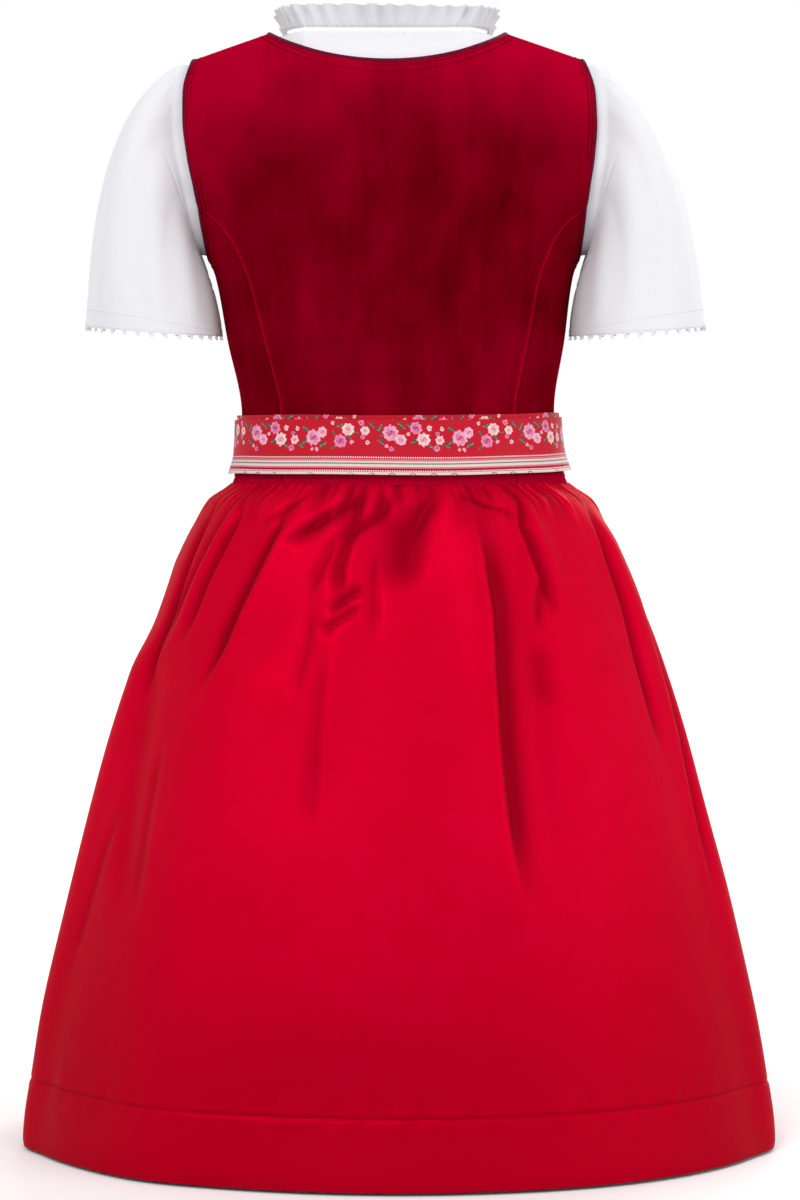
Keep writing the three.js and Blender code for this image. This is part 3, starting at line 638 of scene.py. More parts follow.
def stitch_rows(name, rows, material, fill=0.72, sink=0.35):
    """Rows of machine stitches: each is a small ellipsoid along its path's tangent, half in the cloth."""
    step = sizes().stitch_length / METRE
    radius = sizes().thread / METRE / 2
    turn = np.linspace(0, 2 * np.pi, 6, endpoint=False)
    ends = np.array([-1.0, -0.6, 0.6, 1.0])
    width = np.array([0.25, 1.0, 1.0, 0.25])
    template = np.stack(
        [
            np.repeat(ends, 6),
            np.tile(np.cos(turn), 4) * np.repeat(width, 6),
            np.tile(np.sin(turn), 4) * np.repeat(width, 6),
        ],
        -1,
    )
    caps = np.array([[0, 1, 2, 3], [0, 3, 4, 5], [18, 21, 20, 19], [18, 23, 22, 21]])
    quads = np.concatenate([grid_quads(3, 6, 6), caps])
    vertices, faces = [], []
    start = 0
    for points, normals in rows:
        made, tangent, at = resampled(points, step)
        length = length_along(points)
        normal = unit(np.stack([np.interp(at, length, normals[:, k]) for k in range(3)], -1))
        across = np.cross(normal, tangent)
        centre = made + normal * radius * sink
        reach = step * fill / 2
        placed = (
            centre[:, None]
            + template[None, :, 0, None] * tangent[:, None] * reach
            + template[None, :, 1, None] * across[:, None] * radius
            + template[None, :, 2, None] * normal[:, None] * radius
        )
        vertices.append(placed.reshape(-1, 3))
        faces.append((quads[None] + (start + 24 * np.arange(len(made)))[:, None, None]).reshape(-1, 4))
        start += 24 * len(made)
    vertices = np.concatenate(vertices)
    faces = np.concatenate(faces)
    return put_closed(name, vertices, faces, vertices[faces][..., [0, 2]], material)


def hand_over(piece, slot_name, *nodes):
    """The piece rides on the one body and stands for its solids, which are hidden."""
    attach(piece, "root")
    if nodes:
        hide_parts(*nodes)
    return piece


# Materials

class Tree:
    """Adds nodes to a material or a group and links them by name."""

    def __init__(self, tree):
        self.tree = tree

    def node(self, kind, label=None, **values):
        made = self.tree.nodes.new(kind)
        if label:
            made.label = label
        for key, value in values.items():
            setattr(made, key, value)
        return made

    def feed(self, socket, value):
        if isinstance(value, bpy.types.NodeSocket):
            self.tree.links.new(value, socket)
        else:
            socket.default_value = value

    def math(self, operation, *inputs, clamp=False):
        made = self.node("ShaderNodeMath", operation=operation, use_clamp=clamp)
        for socket, value in zip(made.inputs, inputs):
            self.feed(socket, value)
        return made.outputs[0]

    def vector(self, operation, *inputs):
        made = self.node("ShaderNodeVectorMath", operation=operation)
        for socket, value in zip(made.inputs, inputs):
            self.feed(socket, value)
        return made.outputs["Value"] if operation == "LENGTH" else made.outputs[0]

    def mix(self, factor, first, second, blend="MIX"):
        made = self.node("ShaderNodeMix", data_type="RGBA", blend_type=blend)
        sockets = {socket.identifier: socket for socket in made.inputs}
        self.feed(sockets["Factor_Float"], factor)
        self.feed(sockets["A_Color"], first)
        self.feed(sockets["B_Color"], second)
        return next(socket for socket in made.outputs if socket.identifier == "Result_Color")

    def span(self, value, low, high, to_low=0.0, to_high=1.0, soft=False):
        made = self.node("ShaderNodeMapRange")
        made.interpolation_type = "SMOOTHSTEP" if soft else "LINEAR"
        for name, number in zip(("From Min", "From Max", "To Min", "To Max"), (low, high, to_low, to_high)):
            self.feed(made.inputs[name], number)
        self.feed(made.inputs["Value"], value)
        return made.outputs["Result"]

    def noise(self, vector, scale, detail=2.0, roughness=0.5):
        made = self.node("ShaderNodeTexNoise")
        self.feed(made.inputs["Vector"], vector)
        self.feed(made.inputs["Scale"], scale)
        self.feed(made.inputs["Detail"], detail)
        self.feed(made.inputs["Roughness"], roughness)
        return made.outputs["Fac"]

    def parts(self, vector):
        """X, Y and Z of a vector."""
        split = self.node("ShaderNodeSeparateXYZ")
        self.feed(split.inputs[0], vector)
        return split.outputs

    def far(self, x, y):
        """Distance of (x, y) from (0, 0)."""
        return self.math("SQRT", self.math("ADD", self.math("POWER", x, 2.0), self.math("POWER", y, 2.0)))

    def scaled(self, vector, x, y, z):
        return self.vector("MULTIPLY", vector, (x, y, z))


def new_group(name, inputs, outputs):
    """An empty node group with these sockets: (name, kind, default) in, (name, kind) out."""
    group = bpy.data.node_groups.new(name, "ShaderNodeTree")
    for label, kind, default in inputs:
        socket = group.interface.new_socket(label, in_out="INPUT", socket_type=kind)
        if default is not None:
            socket.default_value = default
    for label, kind in outputs:
        group.interface.new_socket(label, in_out="OUTPUT", socket_type=kind)
    tree = Tree(group)
    return group, tree, tree.node("NodeGroupInput").outputs, tree.node("NodeGroupOutput").inputs


NUMBER, PLACE, COLOUR = "NodeSocketFloat", "NodeSocketVector", "NodeSocketColor"


def weave_group():
    """Plain weave: warp and weft as rounded ribs that pass over one another, with uneven threads."""
    if "Weave" in bpy.data.node_groups:
        return bpy.data.node_groups["Weave"]
    group, tree, given, result = new_group(
        "Weave",
        [("Place", PLACE, None), ("Threads", NUMBER, 2000.0), ("Slub", NUMBER, 0.5)],
        [("Height", NUMBER), ("Shade", NUMBER)],
    )
    parts = tree.parts(given["Place"])
    turns = tree.math("MULTIPLY", given["Threads"], math.pi)
    warp = tree.math("SINE", tree.math("MULTIPLY", parts["X"], turns))
    weft = tree.math("SINE", tree.math("MULTIPLY", parts["Y"], turns))
    over = tree.math("MULTIPLY", warp, weft)
    ribs = tree.math("MULTIPLY_ADD", over, 0.5, 0.5)
    long_warp = tree.noise(tree.scaled(given["Place"], 1500.0, 60.0, 1.0), 1.0, 1.0)
    long_weft = tree.noise(tree.scaled(given["Place"], 60.0, 1500.0, 1.0), 1.0, 1.0)
    slub = tree.math("MULTIPLY", tree.math("ADD", long_warp, long_weft), given["Slub"])
    tree.feed(result["Height"], tree.math("ADD", ribs, slub))
    tree.feed(result["Shade"], tree.math("ADD", long_warp, long_weft))
    return group


def mottle_group():
    """Soft variation over a cloth: two scales of noise about 0.5, spread by an amount."""
    if "Mottle" in bpy.data.node_groups:
        return bpy.data.node_groups["Mottle"]
    group, tree, given, result = new_group(
        "Mottle",
        [("Place", PLACE, None), ("Broad", NUMBER, 8.0), ("Fine", NUMBER, 60.0), ("Amount", NUMBER, 1.0)],
        [("Value", NUMBER)],
    )
    broad = tree.noise(given["Place"], given["Broad"], 2.0)
    fine = tree.noise(given["Place"], given["Fine"], 3.0)
    both = tree.math("MULTIPLY_ADD", fine, 0.4, tree.math("MULTIPLY", broad, 0.6))
    apart = tree.math("MULTIPLY", tree.math("SUBTRACT", both, 0.5), given["Amount"])
    tree.feed(result["Value"], tree.math("ADD", apart, 0.5, clamp=True))
    return group


def bloom_group():
    """A rose: r / radius against 1 + 0.09 cos(petals angle), with petal edges that wind outwards."""
    if "Bloom" in bpy.data.node_groups:
        return bpy.data.node_groups["Bloom"]
    group, tree, given, result = new_group(
        "Bloom",
        [
            ("Place", PLACE, None), ("Ground", COLOUR, None), ("Centre", PLACE, None),
            ("Radius", NUMBER, 4.0), ("Petals", NUMBER, 7.0), ("Turn", NUMBER, 0.0),
            ("Outer", COLOUR, None), ("Heart", COLOUR, None),
        ],
        [("Colour", COLOUR)],
    )
    offset = tree.vector("SUBTRACT", given["Place"], given["Centre"])
    far = tree.vector("LENGTH", offset)
    parts = tree.parts(offset)
    angle = tree.math("ARCTAN2", parts["Y"], parts["X"])
    petals = tree.math("COSINE", tree.math("MULTIPLY_ADD", angle, given["Petals"], given["Turn"]))
    edge = tree.math("MULTIPLY", given["Radius"], tree.math("MULTIPLY_ADD", petals, 0.09, 1.0))
    share = tree.math("DIVIDE", far, edge)
    wound = tree.math("MULTIPLY_ADD", share, 8.5, tree.math("MULTIPLY_ADD", angle, 2.0, given["Turn"]))
    leaf_edges = tree.math("MULTIPLY", tree.math("SINE", wound), 0.22)
    outward = tree.math("ADD", tree.math("MULTIPLY", share, 1.15), leaf_edges, clamp=True)
    blossom = tree.mix(outward, given["Heart"], given["Outer"])
    mask = tree.span(share, 1.04, 0.92)
    tree.feed(result["Colour"], tree.mix(mask, given["Ground"], blossom))
    return group


def leaf_group():
    """A leaf: an ellipse turned to its angle, with a saw edge and a pale vein along its middle."""
    if "Leaf" in bpy.data.node_groups:
        return bpy.data.node_groups["Leaf"]
    group, tree, given, result = new_group(
        "Leaf",
        [
            ("Place", PLACE, None), ("Ground", COLOUR, None), ("Centre", PLACE, None), ("Reach", NUMBER, 2.5),
            ("Turn", NUMBER, 0.0), ("Blade", COLOUR, None), ("Vein", COLOUR, None),
        ],
        [("Colour", COLOUR)],
    )
    spin = tree.node("ShaderNodeVectorRotate", rotation_type="Z_AXIS")
    tree.feed(spin.inputs["Vector"], tree.vector("SUBTRACT", given["Place"], given["Centre"]))
    tree.feed(spin.inputs["Angle"], given["Turn"])
    parts = tree.parts(spin.outputs[0])
    long = tree.math("DIVIDE", parts["X"], given["Reach"])
    wide = tree.math("DIVIDE", parts["Y"], tree.math("MULTIPLY", given["Reach"], 0.55))
    far = tree.far(long, wide)
    saw = tree.math("MULTIPLY", tree.math("SINE", tree.math("MULTIPLY", long, 14.0)), 0.08)
    mask = tree.span(tree.math("ADD", far, saw), 1.06, 0.9)
    vein = tree.span(tree.math("ABSOLUTE", wide), 0.3, 0.1)
    blade = tree.mix(vein, given["Blade"], given["Vein"])
    tree.feed(result["Colour"], tree.mix(mask, given["Ground"], blade))
    return group


def start_material(name):
    """A new material with its tree, its Principled shader and the cloth's own map."""
    material = bpy.data.materials.new("made_" + name)
    material.use_nodes = True
    material.node_tree.nodes.clear()
    tree = Tree(material.node_tree)
    shader = tree.node("ShaderNodeBsdfPrincipled")
    tree.feed(tree.node("ShaderNodeOutputMaterial").inputs["Surface"], shader.outputs[0])
    cloth_map = tree.node("ShaderNodeUVMap", uv_map="Cloth").outputs["UV"]
    return material, tree, shader, cloth_map


def place_group(tree, group, **inputs):
    made = tree.node("ShaderNodeGroup", node_tree=group)
    for name, value in inputs.items():
        tree.feed(made.inputs[name], value)
    return made.outputs


def mottled(tree, place, broad, fine, amount):
    return place_group(tree, mottle_group(), Place=place, Broad=broad, Fine=fine, Amount=amount)["Value"]


def bump(tree, shader, height, strength, distance):
    made = tree.node("ShaderNodeBump")
    tree.feed(made.inputs["Height"], height)
    tree.feed(made.inputs["Strength"], strength)
    tree.feed(made.inputs["Distance"], distance)
    tree.feed(shader.inputs["Normal"], made.outputs["Normal"])


def tint(colour, share):
    """The colour as it is, made darker or lighter by a share."""
    return (*[min(1.0, value * share) for value in colour], 1.0)


def painted_light_of(tree, low, high):
    """How far the cloth's painted light, painted shade below 0 and painted highlight above, lies between two
    values.
    """
    return tree.span(tree.node("ShaderNodeAttribute", attribute_name="PaintedLight").outputs["Fac"], low, high)


def object_place(tree):
    return tree.node("ShaderNodeTexCoord").outputs["Object"]


def satin_material():
    """Red satin, with painted shade in its creases, between its gathers, along the hem's stitch line and
    towards the hem, and painted highlight on the folds that stand out.
    """
    material, tree, shader, cloth_map = start_material("satin")
    red = colours().satin
    place = object_place(tree)
    mottle = mottled(tree, place, 7.0, 40.0, 1.6)
    weave = place_group(tree, weave_group(), Place=cloth_map, Threads=1600.0, Slub=0.7)
    base = tree.mix(mottle, tint(red, 0.90), (min(1.0, red[0] * 1.08), red[1], red[2] * 1.6, 1.0))
    slub = tree.span(weave["Shade"], 0.7, 1.3, 0.0, 1.0)
    base = tree.mix(tree.math("MULTIPLY", slub, 0.12), base, tint(red, 0.7))
    # Painted shade: the satin is darker towards the hem, where less light falls.
    parts = tree.parts(place)
    low = tree.span(parts["Z"], -0.52, -0.74, 0.0, 0.75, soft=True)
    base = tree.mix(low, base, tint(red, 0.66))
    # Painted highlight where the painted light is above 0, on raised folds; painted shade where it is below
    # 0, in creases, between gathers and along the hem's stitch line.
    base = tree.mix(tree.math("MULTIPLY", painted_light_of(tree, 0.0, 0.7), 0.35), base, tint(red, 1.25))
    base = tree.mix(tree.math("MULTIPLY", painted_light_of(tree, 0.0, -1.0), 0.84), base, tint(red, 0.38))
    tree.feed(shader.inputs["Base Color"], base)
    tree.feed(shader.inputs["Roughness"], tree.span(slub, 0.0, 1.0, 0.42, 0.53))
    shader.inputs["Metallic"].default_value = 0.3
    shader.inputs["Specular IOR Level"].default_value = 0.05
    shader.inputs["Specular Tint"].default_value = (1.0, 0.02, 0.08, 1.0)
    bump(tree, shader, weave["Height"], 0.12, 0.0002)
    return material


def painted_light_pool(tree, place, centre, reach):
    """A mask for pools of painted highlight and painted shade: 1 at a point of the cloth and 0 beyond its
    reach, with a soft fall between.
    """
    apart = tree.vector("SUBTRACT", place, centre)
    return tree.span(tree.vector("LENGTH", apart), 0.0, reach, 1.0, 0.0, soft=True)


def velvet_material():
    """Velvet with random brushed variation and strokes in its pile, and painted light: a painted highlight
    over the wearer's left shoulder, along the edges and towards the neck, and painted shade in the middle.
    """
    material, tree, shader, cloth_map = start_material("velvet")
    deep = colours().velvet
    place = object_place(tree)
    flat = tree.scaled(place, 1.0, 0.0, 1.0)
    brushed = mottled(tree, tree.scaled(place, 1.0, 0.6, 0.7), 9.0, 36.0, 1.5)
    strokes = tree.noise(tree.scaled(place, 150.0, 60.0, 16.0), 1.0, 2.0)
    parts = tree.parts(place)
    # outer and upper are masks for painted highlight along the side edges and towards the neck.
    outer = tree.span(tree.math("ABSOLUTE", parts["X"]), 0.085, 0.15, soft=True)
    upper = tree.span(parts["Z"], -0.095, -0.02, soft=True)
    # On the pile's random brushed variation: painted highlight over the wearer's left shoulder and painted
    # shade in the middle.
    light = tree.math("MULTIPLY_ADD", painted_light_pool(tree, flat, (0.11, 0.0, -0.04), 0.12), 0.22, brushed)
    light = tree.math("MULTIPLY_ADD", painted_light_pool(tree, flat, (-0.05, 0.0, -0.17), 0.15), -0.26, light)
    light = tree.math("MULTIPLY_ADD", outer, 0.22, light)
    light = tree.math("MULTIPLY_ADD", upper, 0.62, light)
    # Painted highlight on the seam ridges and painted light on the strip under the ties; the strokes are
    # random brush marks in the pile.
    light = tree.math("ADD", light, painted_light_of(tree, 0.0, 1.0))
    light = tree.math("ADD", light, tree.math("MULTIPLY_ADD", strokes, 0.26, -0.44), clamp=True)
    pile = tree.noise(tree.scaled(cloth_map, 1400.0, 900.0, 1.0), 1.0, 2.0)
    # bright is a lit copy of the velvet and the 0.60 tint a shaded copy; the pile's random variation with the
    # painted light mixes between them.
    bright = (min(1.0, deep[0] * 2.2), deep[1], min(1.0, deep[2] * 5.0), 1.0)
    base = tree.mix(light, tint(deep, 0.60), bright)
    flecks = tree.math("MULTIPLY", tree.span(pile, 0.35, 0.7), 0.25)
    tree.feed(shader.inputs["Base Color"], tree.mix(flecks, base, tint(deep, 0.7)))
    tree.feed(shader.inputs["Roughness"], tree.span(brushed, 0.0, 1.0, 0.85, 0.97))
    shader.inputs["Specular IOR Level"].default_value = 0.0
    shader.inputs["Sheen Weight"].default_value = 0.15
    shader.inputs["Sheen Roughness"].default_value = 0.22
    shader.inputs["Sheen Tint"].default_value = (*colours().velvet_sheen, 1.0)
    height = tree.math("MULTIPLY_ADD", brushed, 2.0, pile)
    bump(tree, shader, height, 0.35, 0.0004)
    return material


def binding_material():
    material, tree, shader, cloth_map = start_material("binding")
    dark = colours().binding
    ribs = tree.math("SINE", tree.math("MULTIPLY", cloth_rib(tree, cloth_map), 5200.0))
    mottle = mottled(tree, object_place(tree), 40.0, 300.0, 2.0)
    tree.feed(shader.inputs["Base Color"], tree.mix(mottle, tint(dark, 0.7), tint(dark, 1.5)))
    tree.feed(shader.inputs["Roughness"], tree.span(mottle, 0.0, 1.0, 0.62, 0.8))
    shader.inputs["Specular IOR Level"].default_value = 0.06
    shader.inputs["Sheen Weight"].default_value = 0.08
    shader.inputs["Sheen Roughness"].default_value = 0.4
    shader.inputs["Sheen Tint"].default_value = (1.0, 0.05, 0.2, 1.0)
    bump(tree, shader, ribs, 0.2, 0.0002)
    return material


def cloth_rib(tree, cloth_map):
    """Diagonal of the cloth's map, for a binding cut on the bias."""
    parts = tree.parts(cloth_map)
    return tree.math("ADD", parts["X"], parts["Y"])


def cotton_material():
    material, tree, shader, cloth_map = start_material("cotton")
    white = colours().cotton
    weave = place_group(tree, weave_group(), Place=cloth_map, Threads=1100.0, Slub=0.6)
    mottle = mottled(tree, object_place(tree), 9.0, 120.0, 1.2)
    base = tree.mix(mottle, tint(white, 0.955), tint(white, 1.02))
    threads = tree.math("MULTIPLY", tree.span(weave["Shade"], 0.7, 1.3), 0.25)
    base = tree.mix(threads, base, tint(white, 0.93))
    # Painted shade: grey lilac where the painted light is below 0, in the hollows of the collar's pleats and
    # along its foot.
    shaded = tree.math("MULTIPLY", painted_light_of(tree, 0.0, -1.0), 0.5)
    tree.feed(shader.inputs["Base Color"], tree.mix(shaded, base, (0.50, 0.49, 0.58, 1.0)))
    tree.feed(shader.inputs["Roughness"], tree.span(mottle, 0.0, 1.0, 0.84, 0.94))
    shader.inputs["Specular IOR Level"].default_value = 0.2
    shader.inputs["Sheen Weight"].default_value = 0.5
    shader.inputs["Sheen Roughness"].default_value = 0.5
    bump(tree, shader, weave["Height"], 0.22, 0.0002)
    return material


def lace_material():
    material, tree, shader, cloth_map = start_material("lace")
    white = colours().cotton
    twist = tree.math("SINE", tree.math("MULTIPLY", cloth_rib(tree, cloth_map), 7000.0))
    mottle = mottled(tree, object_place(tree), 60.0, 500.0, 1.6)
    tree.feed(shader.inputs["Base Color"], tree.mix(mottle, tint(white, 0.9), tint(white, 1.04)))
    tree.feed(shader.inputs["Roughness"], tree.span(mottle, 0.0, 1.0, 0.7, 0.85))
    shader.inputs["Sheen Weight"].default_value = 0.15
    bump(tree, shader, twist, 0.3, 0.0002)
    return material


def thread_material(name, colour):
    material, tree, shader, _ = start_material(name)
    twist = tree.noise(tree.scaled(object_place(tree), 3000.0, 3000.0, 3000.0), 1.0, 1.0)
    tree.feed(shader.inputs["Base Color"], tree.mix(twist, tint(colour, 0.75), tint(colour, 1.3)))
    tree.feed(shader.inputs["Roughness"], tree.span(twist, 0.3, 0.7, 0.75, 0.9))
    shader.inputs["Specular IOR Level"].default_value = 0.05
    bump(tree, shader, twist, 0.3, 0.0001)
    return material


def button_material():
    material, tree, shader, _ = start_material("button")
    dark = colours().button
    swirl = tree.noise(tree.scaled(object_place(tree), 90.0, 90.0, 260.0), 1.0, 3.0)
    tree.feed(shader.inputs["Base Color"], tree.mix(swirl, tint(dark, 0.6), tint(dark, 1.8)))
    tree.feed(shader.inputs["Roughness"], tree.span(swirl, 0.3, 0.7, 0.30, 0.42))
    shader.inputs["Specular IOR Level"].default_value = 0.3
    bump(tree, shader, swirl, 0.05, 0.0002)
    return material


def print_colours():
    ground = colours().ground
    return {
        "ground": (*ground, 1.0),
        "rose": (0.62, 0.16, 0.22, 1.0),
        "milk": (0.68, 0.58, 0.53, 1.0),
        "sage": (0.17, 0.18, 0.13, 1.0),
        "wine": (0.22, 0.0, 0.012, 1.0),
    }


# Outer colour and heart of each kind of bloom
BLOOM_COLOURS = {
    "rose": ((0.82, 0.38, 0.52, 1.0), (0.46, 0.015, 0.16, 1.0)),
    "pink": ((0.86, 0.50, 0.58, 1.0), (0.60, 0.12, 0.26, 1.0)),
    "cream": ((0.86, 0.64, 0.60, 1.0), (0.58, 0.16, 0.22, 1.0)),
    "magenta": ((0.78, 0.26, 0.44, 1.0), (0.38, 0.005, 0.11, 1.0)),
    "white": ((0.84, 0.74, 0.70, 1.0), (0.42, 0.04, 0.07, 1.0)),
}
LEAF_BLADE = (0.055, 0.065, 0.040, 1.0)
LEAF_VEIN = (0.26, 0.27, 0.19, 1.0)


def flowered_material():
    """Red satin with the roses of one repeat, lines of dots and a striped border along its lower edge."""
    material, tree, shader, cloth_map = start_material("flowered_satin")
    shades = print_colours()
    print_map = tree.scaled(cloth_map, 1 / METRE, 1 / METRE, 0.0)
    parts = tree.parts(print_map)
    along = tree.math("FLOORED_MODULO", parts["X"], REPEAT)
    down = parts["Y"]
    joined = tree.node("ShaderNodeCombineXYZ")
    tree.feed(joined.inputs["X"], along)
    tree.feed(joined.inputs["Y"], down)
    uneven = tree.node("ShaderNodeTexNoise")
    tree.feed(uneven.inputs["Vector"], joined.outputs[0])
    tree.feed(uneven.inputs["Scale"], 0.75)
    shift = tree.vector("SUBTRACT", uneven.outputs["Color"], (0.5, 0.5, 0.5))
    place = tree.vector("ADD", joined.outputs[0], tree.scaled(shift, 2.6, 2.6, 0.0))
    ramp = tree.node("ShaderNodeValToRGB")
    ramp.color_ramp.interpolation = "CONSTANT"
    last = STRIPES[-1][0]
    for i, (start, shade) in enumerate(STRIPES):
        stops = ramp.color_ramp.elements
        stop = stops[i] if i < 2 else stops.new(start / last)
        stop.position = start / last
        stop.color = shades[shade]
    tree.feed(ramp.inputs["Fac"], tree.math("DIVIDE", down, last))
    colour = ramp.outputs["Color"]
    for x, y, reach, turn in LEAVES:
        colour = place_group(
            tree, leaf_group(), Place=place, Ground=colour, Centre=(x, y, 0.0), Reach=reach, Turn=turn,
            Blade=LEAF_BLADE, Vein=LEAF_VEIN,
        )["Colour"]
    for x, y, radius, petals, turn, kind in BLOOMS:
        outer, heart = BLOOM_COLOURS[kind]
        colour = place_group(
            tree, bloom_group(), Place=place, Ground=colour, Centre=(x, y, 0.0), Radius=radius,
            Petals=float(petals), Turn=turn, Outer=outer, Heart=heart,
        )["Colour"]
    step = tree.math("PINGPONG", parts["X"], DOT_PITCH / 2)
    for height in DOT_LINES:
        off = tree.math("SUBTRACT", down, height)
        colour = tree.mix(tree.span(tree.far(step, off), 0.56, 0.40), colour, (0.88, 0.80, 0.76, 1.0))
    ring_step = tree.math("PINGPONG", parts["X"], 7.0)
    ring_off = tree.math("SUBTRACT", down, 42.4)
    ring = tree.far(ring_step, ring_off)
    scroll = tree.span(tree.math("ABSOLUTE", tree.math("SUBTRACT", ring, 2.3)), 0.5, 0.3)
    here = tree.span(tree.noise(tree.scaled(print_map, 0.05, 0.0, 0.0), 1.0, 1.0), 0.42, 0.52)
    strip = tree.math("MULTIPLY", tree.math("MULTIPLY", scroll, here), tree.span(down, 39.1, 39.3))
    colour = tree.mix(tree.math("MULTIPLY", strip, 0.8), colour, (0.10, 0.10, 0.10, 1.0))
    weave = place_group(tree, weave_group(), Place=cloth_map, Threads=1600.0, Slub=0.7)
    threads = tree.math("MULTIPLY", tree.span(weave["Shade"], 0.7, 1.3), 0.3)
    colour = tree.mix(threads, colour, (0.85, 0.78, 0.80, 1.0), "MULTIPLY")
    tree.feed(shader.inputs["Base Color"], colour)
    tree.feed(shader.inputs["Roughness"], tree.span(weave["Shade"], 0.7, 1.3, 0.46, 0.58))
    shader.inputs["Specular IOR Level"].default_value = 0.18
    bump(tree, shader, weave["Height"], 0.15, 0.0002)
    return material


MATERIALS = {
    "satin": satin_material,
    "velvet": velvet_material,
    "binding": binding_material,
    "cotton": cotton_material,
    "lace": lace_material,
    "button": button_material,
    "flowered_satin": flowered_material,
    "red_thread": lambda: thread_material("red_thread", (0.07, 0.0, 0.006)),
    "hem_thread": lambda: thread_material("hem_thread", (0.30, 0.0, 0.01)),
    "white_thread": lambda: thread_material("white_thread", (0.75, 0.75, 0.785)),
}


def finish_of(name):
    """The material of this name, made the first time it is asked for."""
    return bpy.data.materials.get("made_" + name) or MATERIALS[name]()


# Bodice

ROLL_ROWS = [-20, -21.3, -25.6, -34.2, -46.6, -62, -80, -102, PRINCESS_TOP]
MIDDLE_ROWS = ROLL_ROWS + [-130, -143, -160, -190, -228, -268, -298, -313, WAIST]
NECK_SHARE = 0.8
SIDE_TOP = PRINCESS_TOP - CUT_BACK - SEAM
SEAM_LAP = 1.6
CHEST_RADIUS = 95.0
NECK_STEPS = 420
EDGE_STEPS = 300
SEWING_LIFT = 0.05


def column_share(s, neck_half, tip):
    """Way to the panel's edge: sine steps round the neckline, then even steps along the shoulder."""
    inner = (neck_half / tip) * np.sin(np.pi / 2 * np.minimum(s / NECK_SHARE, 1))
    outer = neck_half / tip + (1 - neck_half / tip) * (s - NECK_SHARE) / (1 - NECK_SHARE)
    return np.where(s < NECK_SHARE, inner, outer)


def middle_edge(z):
    bound = np.clip((z - SIDE_TOP) / CUT_BACK, 0, 1)
    return panel_edge(z) - (SEAM / 2 + (CUT_BACK - SEAM / 2) * bound)


def middle_panel(s, v, drop, start):
    """Distance from the centre and height of points of a middle panel."""
    height = height_at(MIDDLE_ROWS, v)
    tip = middle_edge(np.array(MIDDLE_ROWS[0], float))
    share = column_share(s, NECK_HALF + CUT_BACK, tip)
    top = neckline(start + (tip - start) * share, NECK_HALF + CUT_BACK, drop + CUT_BACK)
    z = WAIST + (height - WAIST) * (top - WAIST) / (MIDDLE_ROWS[0] - WAIST)
    edge = middle_edge(height)
    return start + (edge - start) * share, z, edge


def seam_relief(distance):
    """Across a seam: the cloth rises to a fine ridge beside it and dips into it."""
    return 0.5 * bell(distance - 2.0, 1.2) - 0.7 * bell(distance, 0.8)


def bodice_relief(angle, z):
    """Soft unevenness of the velvet, with short slanting creases over the waist and a wavy lower edge."""
    out = slanted_relief(BODICE_CREASES, angle, z, CHEST_RADIUS, 0.45 * unevenness(angle, z, 21, 0.5))
    lower = bell(z - WAIST, 5)
    return out + lower * (0.35 * np.cos(17 * angle + 0.4) + 0.3 * np.cos(29 * angle))


# Creases of the bodice: degrees from the centre back, height, slant, half length, half width and depth
BODICE_CREASES = [
    (6, -246, 0.5, 14, 7, -0.5), (26, -254, -0.3, 16, 7, -0.5), (-30, -250, 0.3, 18, 7, -0.5),
    (-52, -262, -0.2, 16, 6, -0.5), (52, -258, 0.3, 16, 6, -0.5), (16, -264, 0.1, 24, 6, -0.5),
    (-10, -264, -0.1, 26, 6, -0.5), (-60, -150, 0.9, 18, 8, -0.5), (62, -150, -0.9, 18, 8, -0.5),
    (150, -240, 0.4, 18, 7, -0.5), (-148, -246, -0.4, 18, 7, -0.5), (172, -262, 0.1, 20, 6, -0.5),
    (-128, -256, 0.2, 18, 6, -0.5), (126, -258, -0.2, 18, 6, -0.5),
]


def velvet_painted_light(distance, z):
    """Painted highlight along the ridge beside a seam, and painted light that brightens the strip that shows
    under the ties, where they shade it.
    """
    ridge = 0.55 * bell(distance - 1.8, 1.1) * smooth(PRINCESS_TOP, PRINCESS_TOP - 8, z)
    return ridge + 0.85 * smooth(-311, -316, z)


def wavy_foot(points, angle):
    """The velvet's lower edge hangs a little unevenly over the gathers."""
    drop = smooth(WAIST + 14, WAIST, points[..., 2])
    points[..., 2] += drop * (0.7 * np.cos(11 * angle + 1.0) + 0.5 * np.cos(19 * angle) - 0.4)
    return points


def panel_surface(angle, x, z, edge, relief=0.0):
    """The velvet of a middle panel with its seam, creases and further relief, and its painted light."""
    seam = seam_relief(edge - x) * smooth(PRINCESS_TOP, PRINCESS_TOP - 8, z)
    out = (bodice_relief(angle, z) + seam + relief) * smooth(0, 9, shoulder(x) - z)
    return wavy_foot(moved_out(torso(angle, z), out), angle), velvet_painted_light(edge - x, z)


def back_panel():
    u, v = np.meshgrid(shares(110, 6, 0.0022), shares(108, 3, 0.003))
    s = 2 * u - 1
    x, z, edge = middle_panel(np.abs(s), v, NECK_BACK_DROP, 0.0)
    return panel_surface(np.sign(s) * angle_at(x, z), x, z, edge)


def front_panel():
    u, v = np.meshgrid(shares(56, 6, 0.004), shares(108, 3, 0.003))
    x, z, edge = middle_panel(1 - u, v, NECK_FRONT_DROP, SEAM / 2)
    return panel_surface(np.pi - angle_at(x, z), x, z, edge, 0.7 * seam_relief(x))


def armhole_floor(angle, set_back):
    """Height of the armhole's lower arc: a parabola between the princess seams, set back from its edge."""
    edge = np.array(PRINCESS_TOP, float)
    start = angle_at(panel_edge(edge) - set_back, edge)
    away = np.abs(angle - np.pi / 2) / (np.pi / 2 - start)
    floor = ARMHOLE_FLOOR - set_back
    return floor + (PRINCESS_TOP - floor) * np.clip(away, 0, 1) ** 2


